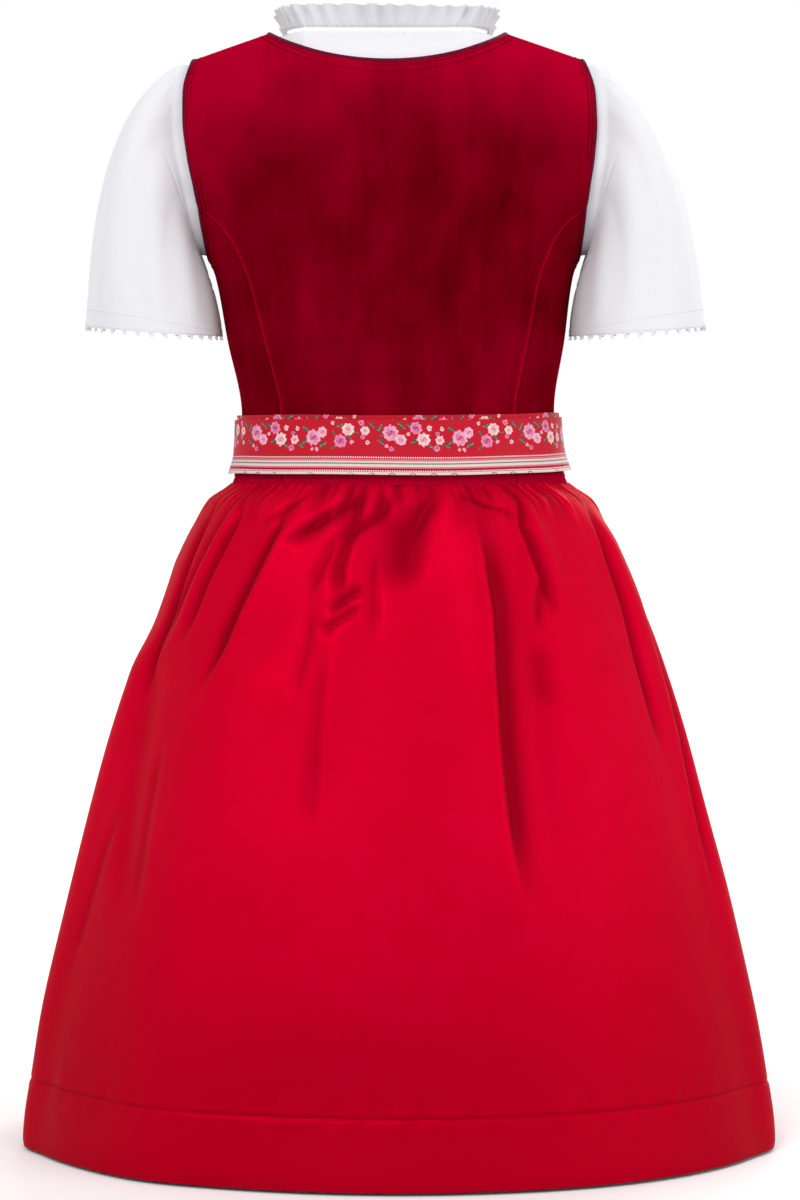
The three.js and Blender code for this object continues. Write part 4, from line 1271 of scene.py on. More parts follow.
def side_panel():
    u, v = np.meshgrid(shares(50, 6, 0.005), shares(80, 3, 0.003))
    height = SIDE_TOP + (WAIST - SIDE_TOP) * v
    seam = angle_at(panel_edge(height) - SEAM_LAP, height)
    angle = seam + (np.pi - 2 * seam) * u
    top_height = np.array(SIDE_TOP, float)
    top_seam = angle_at(panel_edge(top_height) - SEAM_LAP, top_height)
    over = top_seam + (np.pi - 2 * top_seam) * u
    top = np.minimum(SIDE_TOP, armhole_floor(over, CUT_BACK))
    z = WAIST + (height - WAIST) * (top - WAIST) / (SIDE_TOP - WAIST)
    points = torso(angle, z)
    arc = np.minimum(angle - seam, np.pi - seam - angle) * 90
    relief = 0.7 * bodice_relief(angle, z) * smooth(0, 12, top - z + 2)
    points = wavy_foot(moved_out(points, relief - 1.5 * smooth(3.4, 1.2, arc)), angle)
    # Painted light on the strip under the ties; the seam's painted highlight lies beyond reach here.
    return points, velvet_painted_light(arc + 60, z)


def neck_edge(turn, set_back, half, back_drop, front_drop):
    """A point of a neckline at this turn round it, moved into the panel by set_back."""
    reach = half + set_back
    across = reach * np.sin(turn)
    drop = np.where(np.cos(turn) >= 0, back_drop, front_drop)
    z = neckline(np.abs(across) * 0.99999, reach, drop + set_back)
    angle = np.sign(across) * angle_at(np.abs(across), z)
    return torso(np.where(np.cos(turn) >= 0, angle, np.pi - angle), z)


ARMHOLE_UPPER = len(ROLL_ROWS) - 1
ARMHOLE_LOWER = 10
ARMHOLE_STEPS = 2 * ARMHOLE_UPPER + ARMHOLE_LOWER


def armhole_edge(turn, set_back):
    """Once round the wearer's left armhole: down its back edge, under the arm and up its front edge."""
    turn = np.asarray(turn, float) % 1
    place = np.minimum(turn, 1 - turn) * ARMHOLE_STEPS
    seam_height = np.array(PRINCESS_TOP, float)
    start = angle_at(panel_edge(seam_height) - set_back, seam_height)
    low = start + (np.pi / 2 - start) * (place - ARMHOLE_UPPER) / (ARMHOLE_LOWER / 2)
    low_z = armhole_floor(low, set_back)
    height = height_at(ROLL_ROWS, np.minimum(place / ARMHOLE_UPPER, 1))
    top = ROLL_ROWS[0]
    tip = panel_edge(np.array(top, float)) - set_back
    high_z = PRINCESS_TOP + (height - PRINCESS_TOP) * (shoulder(tip) - PRINCESS_TOP) / (top - PRINCESS_TOP)
    high = angle_at(panel_edge(height) - set_back, high_z)
    under = place > ARMHOLE_UPPER
    angle = np.where(under, low, high)
    return torso(np.where(turn <= 0.5, angle, np.pi - angle), np.where(under, low_z, high_z))


def smoothed_loop(points, times):
    """A closed path with its small corners rounded off."""
    for _ in range(times):
        points = 0.5 * points + 0.25 * (np.roll(points, 1, 0) + np.roll(points, -1, 0))
    return points


def edge_frame(edge_at, count, set_back):
    """A closed path set back from an edge, with its direction across the panel and its outward normal."""
    turn = np.arange(count) / count
    path = edge_at(turn, set_back)
    inner = edge_at(turn, set_back + 0.5)
    outer = edge_at(turn, set_back - 0.5)
    across = unit(inner - outer)
    tangent = np.roll(path, -1, 0) - np.roll(path, 1, 0)
    normal = unit(np.cross(across, tangent))
    centre = np.array([path[:, 0].mean() * 0.5, 0, -150.0])
    if np.einsum("ij,ij->i", normal, path - centre).sum() < 0:
        normal = -normal
    return path, across, smoothed_loop(normal, 6)


def neck_path(turn, set_back):
    return neck_edge(2 * np.pi * turn, set_back, NECK_HALF, NECK_BACK_DROP, NECK_FRONT_DROP)


def binding(name, edge_at, count, mirror):
    """The bound edge: a flat tube of rounded section along the edge, over both faces of the velvet."""
    path, across, normal = edge_frame(edge_at, count, BINDING_WIDTH / 2)
    vertices, faces, places = cord_mesh(path - 0.5 * normal, across, normal, BINDING_WIDTH / 2 + 0.15, 1.35)
    if mirror:
        vertices = vertices * MIRROR
    return put_closed(name, vertices, faces, places, finish_of("binding"))


def edge_row(edge_at, count, set_back, mirror=False):
    """A row of sewing beside an edge: its path, closed, and its normals."""
    path, _, normal = edge_frame(edge_at, count, set_back)
    path = path + SEWING_LIFT * normal
    flip = MIRROR if mirror else np.ones(3)
    path = np.concatenate([path, path[:1]]) * flip
    normal = np.concatenate([normal, normal[:1]]) * flip
    return path, normal


def panel_sheet(piece, slot_name, nodes):
    hand_over(piece, slot_name, *nodes)
    return piece


class DIRNDL_OT_bodice(bpy.types.Operator):
    """Build the five velvet panels of the bodice, with its princess seams"""

    bl_idname = "dirndl.bodice"
    bl_label = "Bodice"

    def execute(self, context):
        velvet = finish_of("velvet")
        back, front, side = back_panel(), front_panel(), side_panel()
        panels = [
            ("bodice_back", back, False, (0.31, 0.32), 0.081),
            ("bodice_front_left", front, False, (0.16, 0.32), 0.034),
            ("bodice_front_right", front, True, (0.16, 0.32), 0.034),
            ("bodice_side_left", side, False, (0.17, 0.19), 0.0215),
            ("bodice_side_right", side, True, (0.17, 0.19), 0.0215),
        ]
        for name, (points, painted_light), turn, flat, area in panels:
            if turn:
                points, painted_light = mirrored(points), painted_light[:, ::-1]
            piece = cloth("velvet_" + name, points, VELVET_WALL, velvet, painted_light=painted_light)
            panel_sheet(piece, "velvet", [name])
        return {"FINISHED"}


class DIRNDL_OT_bindings(bpy.types.Operator):
    """Build the dark bound edges of the neckline and the armholes, and the sewing beside them"""

    bl_idname = "dirndl.bindings"
    bl_label = "Bindings"

    def execute(self, context):
        edges = [
            ("neck_binding", neck_path, NECK_STEPS, False),
            ("armhole_binding_left", armhole_edge, EDGE_STEPS, False),
            ("armhole_binding_right", armhole_edge, EDGE_STEPS, True),
        ]
        for name, edge_at, count, mirror in edges:
            hand_over(binding("bound_" + name, edge_at, count, mirror), "binding", name)
        rows = [edge_row(neck_path, NECK_STEPS, BINDING_WIDTH + away) for away in (1.0, 4.4)]
        for mirror in (False, True):
            for away in (1.0, 3.6):
                rows.append(edge_row(armhole_edge, EDGE_STEPS, BINDING_WIDTH + away, mirror))
        hand_over(stitch_rows("bodice_sewing", rows, finish_of("red_thread")), "velvet")
        return {"FINISHED"}


# Blouse

BLOUSE_ROWS = ROLL_ROWS + [-145, -160.6, BLOUSE_HEM]
ARMHOLE_MIDDLE = -90.0
SLEEVE_STEP = 6.5
SLEEVE_ROOT = 0.125
CUFF_HEIGHT = -211.0
CUFF_SLANT = 3.6
CUFF_BLUNT = 0.3
CUFF_BACK_DROP = 2.7
CUFF_INNER = 124.5
CUFF_OUTER = 222.0
CUFF_DEPTH = 60.0
SLEEVE_RADIUS = 55.0
SLEEVE_LENGTH = 190.0
SLEEVE_HEM = 11.5
BEND_INNER = 12.0
BEND_OUTER = 213.0
BEND_HEIGHT = -52.0
COLLAR_TUCK = 1.4
COLLAR_HEIGHT = 15.0
COLLAR_FLARE = 0.38


def blouse_edge(z):
    """Angle of the blouse's side edge: the side seam below, the armhole's arc, and the armhole above."""
    seam_height = np.array(PRINCESS_TOP, float)
    start = angle_at(panel_edge(seam_height), seam_height)
    away = np.sqrt(np.clip((z - ARMHOLE_FLOOR) / (PRINCESS_TOP - ARMHOLE_FLOOR), 0, 1))
    arc = np.pi / 2 + (start - np.pi / 2) * away
    return np.where(z < ARMHOLE_FLOOR, np.pi / 2, np.where(z < PRINCESS_TOP, arc, angle_at(panel_edge(z), z)))


def blouse_reach(z):
    return np.sin(blouse_edge(z) - SEAM / torso_half(z)) ** (2 / SQUARENESS)


def blouse_panel(drop, flip):
    """Body of the blouse, behind or in front, with gathers hanging from the collar's seam."""
    u, v = np.meshgrid(shares(110), shares(70))
    s = 2 * u - 1
    height = height_at(BLOUSE_ROWS, v)
    top_row = np.array(BLOUSE_ROWS[0], float)
    tip = torso_half(np.array(0.0)) * blouse_reach(top_row)
    share = column_share(np.abs(s), BLOUSE_NECK_HALF, tip)
    top = neckline(share * tip, BLOUSE_NECK_HALF, drop)
    z = BLOUSE_HEM + (height - BLOUSE_HEM) * (top - BLOUSE_HEM) / (BLOUSE_ROWS[0] - BLOUSE_HEM)
    angle = np.sign(s) * np.arcsin(np.clip(share * blouse_reach(height), 0, 1) ** (SQUARENESS / 2))
    points = torso(np.pi + angle if flip else angle, z)
    below = top - z
    wrinkles = 0.45 * bell(below, 16) * np.cos(34 * angle + 1.6 * np.sin(5 * angle))
    soft = 0.25 * unevenness(angle, z, 5 + flip, 0.4)
    relief = (BLOUSE_LIFT - 0.5) + (wrinkles + soft) * smooth(0, 10, below) * smooth(1.0, 0.9, np.abs(s))
    return moved_out(points, relief)


def collar_foot(turn):
    """The neckline under the collar at this turn round it, and the level direction outwards."""
    foot = neck_edge(turn, 0, BLOUSE_NECK_HALF - COLLAR_TUCK, BLOUSE_BACK_DROP, BLOUSE_FRONT_DROP)
    return foot, unit(foot * np.array([1.0, 1.0, 0.0]))


def collar_points():
    """The collar: it rises from the neckline, opens outwards and has uneven pleats that grow upwards."""
    u, v = np.meshgrid(shares(900), shares(14))
    turn = 2 * np.pi * u
    base, outward = collar_foot(turn)
    rise = COLLAR_HEIGHT * v
    pleats = sizes().pleats
    phase = pleats * turn + 0.9 * np.sin(5 * turn + 0.6) + 0.6 * np.sin(11 * turn)
    size = 1 + 0.35 * np.sin(7 * turn + 1.0) + 0.2 * np.sin(13 * turn)
    wave = 1.9 * (0.10 + 0.90 * v) * size * (np.cos(phase) + 0.22 * np.cos(2 * phase + 1.0))
    gathers = 0.35 * bell(v, 0.28) * np.cos(2.7 * phase)
    curl = COLLAR_FLARE * rise + 1.2 * v**3
    edge = 0.6 * v * np.cos(phase + 1.3) + 0.5 * v * np.sin(3 * turn)
    points = base + (curl + wave + gathers - 2)[..., None] * outward
    points[..., 2] += BLOUSE_LIFT + 2.2 + rise + edge
    # Painted shade in the hollows of the pleats and along the collar's foot.
    painted_light = 0.5 * size * (np.cos(phase) - 0.7) * (0.45 + 0.55 * v) - 0.5 * bell(v, 0.12)
    return points, np.clip(painted_light, -1, 0)


def cuff_point(turn):
    """The open cuff, a long oval over the wearer's left arm."""
    middle = (CUFF_INNER + CUFF_OUTER) / 2
    half = (CUFF_OUTER - CUFF_INNER) / 2
    soft = 1 + 0.018 * np.cos(6 * turn + 0.6)
    x = middle + half * np.cos(turn) * np.where(np.cos(turn) < 0, 1, soft)
    z = CUFF_HEIGHT + CUFF_SLANT * np.cos(turn) - CUFF_BACK_DROP * np.sin(turn)
    blunt = 1 - CUFF_BLUNT * smooth(-0.1, -0.7, np.cos(turn))
    deep = signed_power(np.sin(turn), blunt)
    return np.stack([x, CUFF_DEPTH * deep * soft, z], -1)


def sleeve_seam(u):
    """The sleeve's seam, beside the edge of the blouse's body and under the bodice's armhole."""
    small = 1e-4
    seam = armhole_edge(u, -0.1)
    around = armhole_edge(u + small, -0.1) - armhole_edge(u - small, -0.1)
    outward = unit(np.cross(armhole_edge(u, 0.2) - seam, around))
    return seam - BLOUSE_LIFT * outward


def sleeve_points():
    """The sleeve on the wearer's left: from the seam out to a root, then a quadratic arc down to the cuff."""
    u, v = np.meshgrid(shares(160), np.unique(np.concatenate([shares(76), np.linspace(0.955, 1, 12)])))
    turn = 2 * np.pi * u
    root = armhole_edge(u, -0.8)
    inward = unit(np.stack([np.zeros_like(u), root[..., 1], root[..., 2] - ARMHOLE_MIDDLE], -1))
    root = root - 2.2 * inward
    root[..., 0] += SLEEVE_STEP
    cuff = cuff_point(turn)
    t = np.clip((v - SLEEVE_ROOT) / (1 - SLEEVE_ROOT), 0, 1)[..., None]
    over = 0.5 + 0.5 * np.cos(turn)
    level = root[..., 2] + (CUFF_HEIGHT - root[..., 2]) * 0.35
    bend = np.stack(
        [
            root[..., 0] - BEND_INNER + (BEND_OUTER - root[..., 0] + BEND_INNER) * over,
            root[..., 1] + (cuff[..., 1] - root[..., 1]) * 0.75,
            level + (BEND_HEIGHT - level) * over,
        ],
        -1,
    )
    arm = (1 - t) ** 2 * root + 2 * t * (1 - t) * bend + t * t * cuff
    share = (v / SLEEVE_ROOT)[..., None]
    points = np.where(v[..., None] <= SLEEVE_ROOT, sleeve_seam(u) * (1 - share) + root * share, arm)
    t = t[..., 0]
    phase = 30 * turn + 1.3 * np.sin(4 * turn) + 0.8 * np.sin(9 * turn + 1)
    head = bell(t, 0.14) * smooth(0, 0.05, t)
    relief = 0.8 * head * np.cos(phase) * (0.55 + 0.45 * np.cos(turn * 2))
    free = 0.25 + 0.75 * smooth(-1.0, -0.4, np.cos(turn))
    relief += free * smooth(0.1, 0.5, t) * smooth(1.05, 0.9, t) * np.cos(4 * turn + 1.4 + 1.5 * t)
    ripple = np.cos(9 * turn + 0.4 - 3 * t + np.sin(3 * turn))
    relief += 0.5 * smooth(0.05, 0.4, t) * smooth(1.02, 0.85, t) * ripple
    relief = slanted_relief(SLEEVE_CREASES, turn, t, SLEEVE_RADIUS, relief, -SLEEVE_LENGTH)
    hem = 0.35 * bell(t - 0.93, 0.006)
    return moved_out(points, relief - hem, side=-1, wrap=True)


# Creases of the sleeve: degrees round it from the outside, share of its length, slant, half length, half
# width and depth
SLEEVE_CREASES = [
    (140, 0.12, 0.3, 16, 3.0, -1.0), (152, 0.24, 0.4, 18, 3.4, -1.0), (160, 0.34, 0.3, 16, 3.0, -0.9),
    (-140, 0.14, -0.3, 16, 3.0, -1.0), (-152, 0.27, -0.4, 18, 3.4, -1.0), (-163, 0.38, -0.3, 14, 3.0, -0.8),
    (100, 0.10, 0.5, 14, 3.0, -0.8), (-100, 0.10, -0.5, 14, 3.0, -0.8), (176, 0.5, 0.1, 14, 3.0, -0.8),
]


def row_at(points, height, wrap=False):
    """The row of a grid nearest to a height, with its normals."""
    at = int(np.argmin(np.abs(points[:, 0, 2] - height)))
    return points[at], grid_normals(points, wrap)[at]


class DIRNDL_OT_blouse(bpy.types.Operator):
    """Build the body of the blouse, behind and in front"""

    bl_idname = "dirndl.blouse"
    bl_label = "Blouse"

    def execute(self, context):
        cotton = finish_of("cotton")
        for name, drop, flip in (
            ("blouse_back", BLOUSE_BACK_DROP, False), ("blouse_front", BLOUSE_FRONT_DROP, True),
        ):
            piece = cloth("cotton_" + name, blouse_panel(drop, flip), COTTON_WALL, cotton)
            panel_sheet(piece, "cotton", [name])
        return {"FINISHED"}


class DIRNDL_OT_collar(bpy.types.Operator):
    """Build the pleated collar with the narrow seam at its foot"""

    bl_idname = "dirndl.collar"
    bl_label = "Collar"

    def execute(self, context):
        points, painted_light = collar_points()
        cotton = finish_of("cotton")
        piece = cloth("pleated_collar", points, COLLAR_WALL, cotton, side=-1, wrap=True, painted_light=painted_light)
        panel_sheet(
            piece, "cotton", ["collar_ruffle"]
        )
        turn = np.linspace(0, 2 * np.pi, 500)
        foot, outward = collar_foot(turn)
        foot = foot + 0.2 * outward + np.array([0, 0, BLOUSE_LIFT + 4.2])
        hand_over(stitch_rows("collar_sewing", [(foot, outward)], finish_of("white_thread")), "cotton")
        return {"FINISHED"}


class DIRNDL_OT_sleeves(bpy.types.Operator):
    """Build the two flared half sleeves with the sewing of their hems"""

    bl_idname = "dirndl.sleeves"
    bl_label = "Sleeves"

    def execute(self, context):
        cotton = finish_of("cotton")
        left = sleeve_points()
        path, inward = row_at(left, left[-1, 0, 2] + SLEEVE_HEM, wrap=True)
        rows = [(path, -inward), (path[::-1] * MIRROR, -inward[::-1] * MIRROR)]
        for name, points in (("sleeve_left", left), ("sleeve_right", mirrored(left))):
            piece = cloth("cotton_" + name, points, COTTON_WALL, cotton, side=-1, wrap=True)
            panel_sheet(
                piece, "cotton", [name],
            )
        hand_over(stitch_rows("sleeve_sewing", rows, finish_of("white_thread")), "cotton")
        return {"FINISHED"}


LACE_WALL = 0.5
LACE_TUCK = 1.0
LACE_DROP = 0.9
LACE_POINT = 1.3
LOOP_RADIUS = 0.95
LOOP_THREAD = 0.36


def cuff_frame(turn):
    """Points of the cuff with their directions round it and outwards."""
    step = 1e-3
    around = unit(cuff_point(turn + step) - cuff_point(turn - step))
    return cuff_point(turn), around, np.cross(around, [0.0, 0.0, 1.0])


def thread_loops(turn):
    """A small ring of thread at each point of the lace: a torus that stands in the cloth's own surface."""
    centre, around, outward = cuff_frame(turn)
    centre = centre - 0.4 * outward
    centre[:, 2] -= LACE_DROP + LACE_POINT + 0.55 * LOOP_RADIUS
    ring, tube = 14, 6
    i, j = np.mgrid[0:ring, 0:tube]
    swing = 2 * np.pi * i / ring
    far = LOOP_RADIUS + LOOP_THREAD * np.cos(2 * np.pi * j / tube)
    out = LOOP_THREAD * np.sin(2 * np.pi * j / tube)
    up = np.array([0.0, 0.0, 1.0])
    vertices = (
        centre[:, None, None]
        + (far * np.cos(swing))[None, ..., None] * around[:, None, None]
        + (far * np.sin(swing))[None, ..., None] * up
        + out[None, ..., None] * outward[:, None, None]
    ).reshape(-1, 3)
    quads = grid_quads(ring, tube, tube, ring)
    faces = (quads[None] + (ring * tube * np.arange(len(centre)))[:, None, None]).reshape(-1, 4)
    faces = face_out(vertices, faces)
    return vertices, faces, vertices[faces][..., [1, 2]]


def lace_piece(name, mirror, material):
    """The edging: a narrow strip that hangs in shallow scallops between points, with a loop at each point."""
    picots = sizes().picots
    u, v = np.meshgrid(shares(picots * 16), shares(6))
    strip, _, outward = cuff_frame(2 * np.pi * u)
    strip = strip - 0.15 * outward
    point = np.abs(2 * ((u * picots) % 1) - 1) ** 2.6
    strip[..., 2] += LACE_TUCK - (LACE_TUCK + LACE_DROP + LACE_POINT * point) * v
    band = cloth_arrays(strip, LACE_WALL, side=-1, wrap=True)
    loops = thread_loops(2 * np.pi * np.arange(picots) / picots)
    vertices, faces, places = (np.concatenate(pair) for pair in zip(band, loops))
    faces[len(band[1]):] += len(band[0])
    if mirror:
        vertices = vertices * MIRROR
        faces, places = faces[:, ::-1], places[:, ::-1]
    return put_mesh(name, vertices, faces, places, material)


class DIRNDL_OT_lace(bpy.types.Operator):
    """Build the picot lace under both cuffs"""

    bl_idname = "dirndl.lace"
    bl_label = "Lace"

    def execute(self, context):
        for name, mirror in (("lace_left", False), ("lace_right", True)):
            piece = lace_piece("picot_" + name, mirror, finish_of("lace"))
            hand_over(piece, "lace", name)
        return {"FINISHED"}


# Skirt and apron

SKIRT_TOP = WAIST - SEAM
SEAM_ALLOWANCE = 4.0
GATHERED_SHARE = 0.22
# Height of a fold, in millimetres, that gives full painted light: highlight on a raised fold, shade on a sunk
# one.
FOLD_PAINTED_LIGHT = 26.0


def skirt_panel(middle, columns, rows, under):
    """Half of the skirt round a middle angle; the top edge is tucked under the velvet.

    The side edges run under the other half by a given amount, and sink there by the cloth's thickness."""
    upper = np.linspace(0, GATHERED_SHARE, rows // 3, endpoint=False)
    lower = np.linspace(GATHERED_SHARE, 1, rows - rows // 3)
    sewn = (HEM_STITCH - SKIRT_TOP) / (HEM - SKIRT_TOP) + np.linspace(-0.008, 0.008, 9)
    v = np.unique(np.concatenate([upper, lower, sewn]))
    edge = np.linspace(0, 0.012, 7)
    u, v = np.meshgrid(np.unique(np.concatenate([shares(columns), edge, 1 - edge])), v)
    z = SKIRT_TOP + (HEM - SKIRT_TOP) * v
    half = np.pi / 2 + under / skirt_half(z)
    angle = middle + half * (2 * u - 1)
    points = skirt(angle, z)
    tuck = 2.2 * np.exp(-((SKIRT_TOP - z) / 2.2))
    centre = unit(np.stack([points[..., 0], points[..., 1], np.zeros_like(z)], -1))
    if under > 0:
        inside = (np.pi / 2 - np.abs(angle - middle)) * skirt_half(z)
        tuck = tuck + (SATIN_WALL + 0.3) * smooth(5.0, 0.5, inside)
    points = points - tuck[..., None] * centre
    points[..., 2] += 2.0 * np.exp(-((SKIRT_TOP - z) / 1.5))
    curl = smooth(HEM + 3, HEM, z)
    # Painted light of the satin: painted shade in its creases and gathers, painted highlight on its raised
    # folds.
    painted_light = skirt_painted_light(angle, z, np.hypot(points[..., 0], points[..., 1]))
    return points - (0.5 * curl)[..., None] * centre, painted_light


def skirt_painted_light(angle, z, radius):
    """Painted shade in the creases, between the gathers, just under the waist seam and along the hem's stitch
    line, and a little painted highlight on the folds that stand out.
    """
    below = WAIST - z
    # Painted shade between the gathers and in a band just under the waist seam, with a little painted
    # highlight on the gathers' ridges.
    between = 0.5 * gather_relief(angle, z, radius, WAIST) - 0.36 * bell(below, 15)
    sunk = crease_relief(angle, z, radius) / 3.8 + between
    # Painted shade along the hem's stitch line.
    painted_stitch_shade = -0.25 * bell(z - HEM_STITCH, 1.4)
    return np.clip(sunk + fold_relief(angle, z, radius) / FOLD_PAINTED_LIGHT + painted_stitch_shade, -1, 1)


class DIRNDL_OT_skirt(bpy.types.Operator):
    """Build the gathered satin skirt with the sewing of its turned-up hem"""

    bl_idname = "dirndl.skirt"
    bl_label = "Skirt"

    def execute(self, context):
        satin = finish_of("satin")
        rows = []
        for name, middle, columns, lines, under in (
            ("skirt_back", 0.0, 260, 132, 0.0), ("skirt_front", math.pi, 190, 92, SEAM_ALLOWANCE)
        ):
            points, painted_light = skirt_panel(middle, columns, lines, under)
            piece = cloth("satin_" + name, points, SATIN_WALL, satin, painted_light=painted_light)
            panel_sheet(
                piece, "satin", [name]
            )
            rows.append(row_at(points, HEM_STITCH))
        hand_over(stitch_rows("hem_sewing", rows, finish_of("hem_thread")), "satin")
        return {"FINISHED"}


APRON_TOP = TIE_FOOT - TIE_PEEP / 2 - SEAM
APRON_HALF = math.pi * 13 / 40
APRON_HEM = 14.0


def apron_points():
    """The apron lies on the skirt's front: the same points, moved out, with small gathers of its own."""
    v = np.unique(np.concatenate([np.linspace(0, 0.2, 32), np.linspace(0.2, 1, 66)]))
    u, v = np.meshgrid(shares(150), v)
    z = APRON_TOP + (HEM_STITCH - APRON_TOP) * v
    angle = np.pi + APRON_HALF * (2 * u - 1)
    points = gown(angle, z)
    below = np.maximum(APRON_TOP - z, 0)
    phase = 64 * angle + 1.7 * np.sin(9 * angle) + 0.8 * np.sin(23 * angle)
    own = 0.7 * bell(below, 38) * (np.cos(phase) + 0.5 * np.cos(0.47 * phase + 1))
    own += 0.35 * unevenness(angle, z, 31, 0.8) * smooth(0, 80, below)
    foot = 0.3 * bell(z - HEM_STITCH - APRON_HEM, 1.2)
    folds = fold_relief(angle, z, skirt_half(np.minimum(z, WAIST)))
    # Painted shade between the apron's own gathers and on the skirt's sunk folds beneath, painted highlight
    # on the raised ones.
    painted_light = np.clip(own / 1.3 + folds / FOLD_PAINTED_LIGHT, -1, 1)
    return moved_out(points, APRON_LIFT + 0.5 + own - foot), painted_light


class DIRNDL_OT_apron(bpy.types.Operator):
    """Build the plain red apron panel over the front of the skirt"""

    bl_idname = "dirndl.apron"
    bl_label = "Apron"

    def execute(self, context):
        points, painted_light = apron_points()
        piece = cloth("apron_cloth", points, APRON_WALL, finish_of("satin"), painted_light=painted_light)
        panel_sheet(piece, "satin", ["apron_panel"])
        rows = [row_at(points, HEM_STITCH + APRON_HEM)]
        hand_over(stitch_rows("apron_sewing", rows, finish_of("hem_thread")), "satin")
        return {"FINISHED"}


# Ties

TIE_RADIUS = 100.0
BAND_ROWS = 26


def band_points(start, end, top, foot, lift, seed, columns):
    """A band round the waist between two angles, with soft waves along it that die out at its edges."""
    u, v = np.meshgrid(shares(columns), shares(BAND_ROWS))
    angle = np.radians(start + (end - start) * u)
    wave = 0.5 * np.sin(3 * angle + seed) + 0.35 * np.sin(7 * angle + 2 * seed)
    z = top + (foot - top) * v
    points = torso(angle, z)
    relief = slanted_relief(TIE_CREASES, angle, z, TIE_RADIUS, 0.22 * unevenness(angle, z, seed, 0.25))
    side = 1 if end > start else -1
    points = moved_out(points, lift + 0.15 + relief, side)
    points[..., 2] += 0.5 * wave + TIE_RISE * smooth(-10, -80, np.degrees(angle))
    return points, side


# Creases of the ties: degrees from the centre back, height, slant, half length, half width and depth
TIE_CREASES = [
    (-62, -282, -0.25, 16, 2.2, -0.35), (-70, -300, -0.15, 18, 2.4, -0.35), (64, -286, 0.2, 16, 2.2, -0.35),
    (72, -304, 0.1, 18, 2.4, -0.3), (-12, -296, 0.05, 26, 3.0, -0.2), (20, -290, -0.05, 26, 3.0, -0.2),
    (130, -292, 0.12, 22, 2.6, -0.3), (-130, -296, -0.12, 22, 2.6, -0.3), (168, -290, 0.3, 14, 2.2, -0.35),
    (-168, -298, -0.3, 14, 2.2, -0.35),
]
TIE_END_HALF = 19.0
PRINT_SHIFT = 0.03
KNOT_HALF = 19.0
KNOT_DEPTH = 8.6
KNOT_RISE = 20.0


def tie_end_points(hand):
    """A free tie end: it hangs from the knot over the apron, turns outwards a little and is softly folded."""
    u, v = np.meshgrid(shares(30), shares(110))
    z = TIE_FOOT - SEAM - TIE_END_LENGTH * v
    half = TIE_END_HALF * (0.72 + 0.28 * smooth(0, 0.16, v))
    across = hand * (21 + 26 * v) + half * (1 - 2 * u)
    angle = np.pi - np.arcsin(across / skirt_half(np.minimum(z, -340)))
    points = gown(angle, z)
    gather = 1.2 * (1 - smooth(0, 0.45, v)) * np.cos(2 * np.pi * 3 * u + 0.4) * smooth(0, 0.03, v)
    soft = 1.5 * np.sin(2 * np.pi * (u * 0.8 + v * 1.2)) * smooth(0.1, 0.5, v)
    points[..., 1] -= 3 * np.sin(np.pi * v) + 4.5 * (1 - v) ** 6
    points = moved_out(points, 8.5 + gather + soft * 0.7)
    cut = 5.0 * (u if hand > 0 else 1 - u)
    points[..., 2] -= cut * smooth(0.9, 1.0, v)
    return points


def knot_points():
    """The knot: a rounded cushion form with folds that wind round it from side to side."""
    u, v = np.meshgrid(shares(120), np.linspace(0.012, 0.988, 70))
    turn = 2 * np.pi * u
    rise = np.pi * v
    height = (TIE_TOP + TIE_FOOT) / 2
    fold = 1 + 0.06 * np.cos(5 * rise + 1.4 * np.sin(turn)) + 0.03 * np.cos(9 * rise - 1.2 * np.cos(turn))
    ring = np.sin(rise) ** 0.8 * fold
    waist = 1 - 0.12 * bell(v - 0.5, 0.25)
    x = KNOT_HALF * ring * np.cos(turn) * waist
    y = KNOT_DEPTH * ring * np.sin(turn)
    z = KNOT_RISE * signed_power(np.cos(rise), 0.85)
    front = -(torso_front(np.array(height)) + TIE_OUTER_LIFT + 9 + SEAM)
    return np.stack([x, front + y, height + z], -1)


def closed_ball(name, points, material, origin):
    """A closed skin over a grid that runs round and from pole to pole, with a point at each pole."""
    rows, columns = points.shape[0], points.shape[1] - 1
    ring = points[:, :-1].reshape(-1, 3)
    poles = np.stack([points[0, :-1].mean(0), points[-1, :-1].mean(0)])
    along, down = spans(points)
    caps = pole_caps(rows, columns)
    cap_places = np.zeros((len(caps), 4, 2)) + np.array([0.0, down[-1] / 2])
    faces = np.concatenate([grid_quads(rows - 1, columns, columns), caps])
    places = np.concatenate([grid_places(rows - 1, columns, along, down), cap_places])
    return put_closed(name, np.concatenate([ring, poles]), faces, places + np.array(origin, float), material)


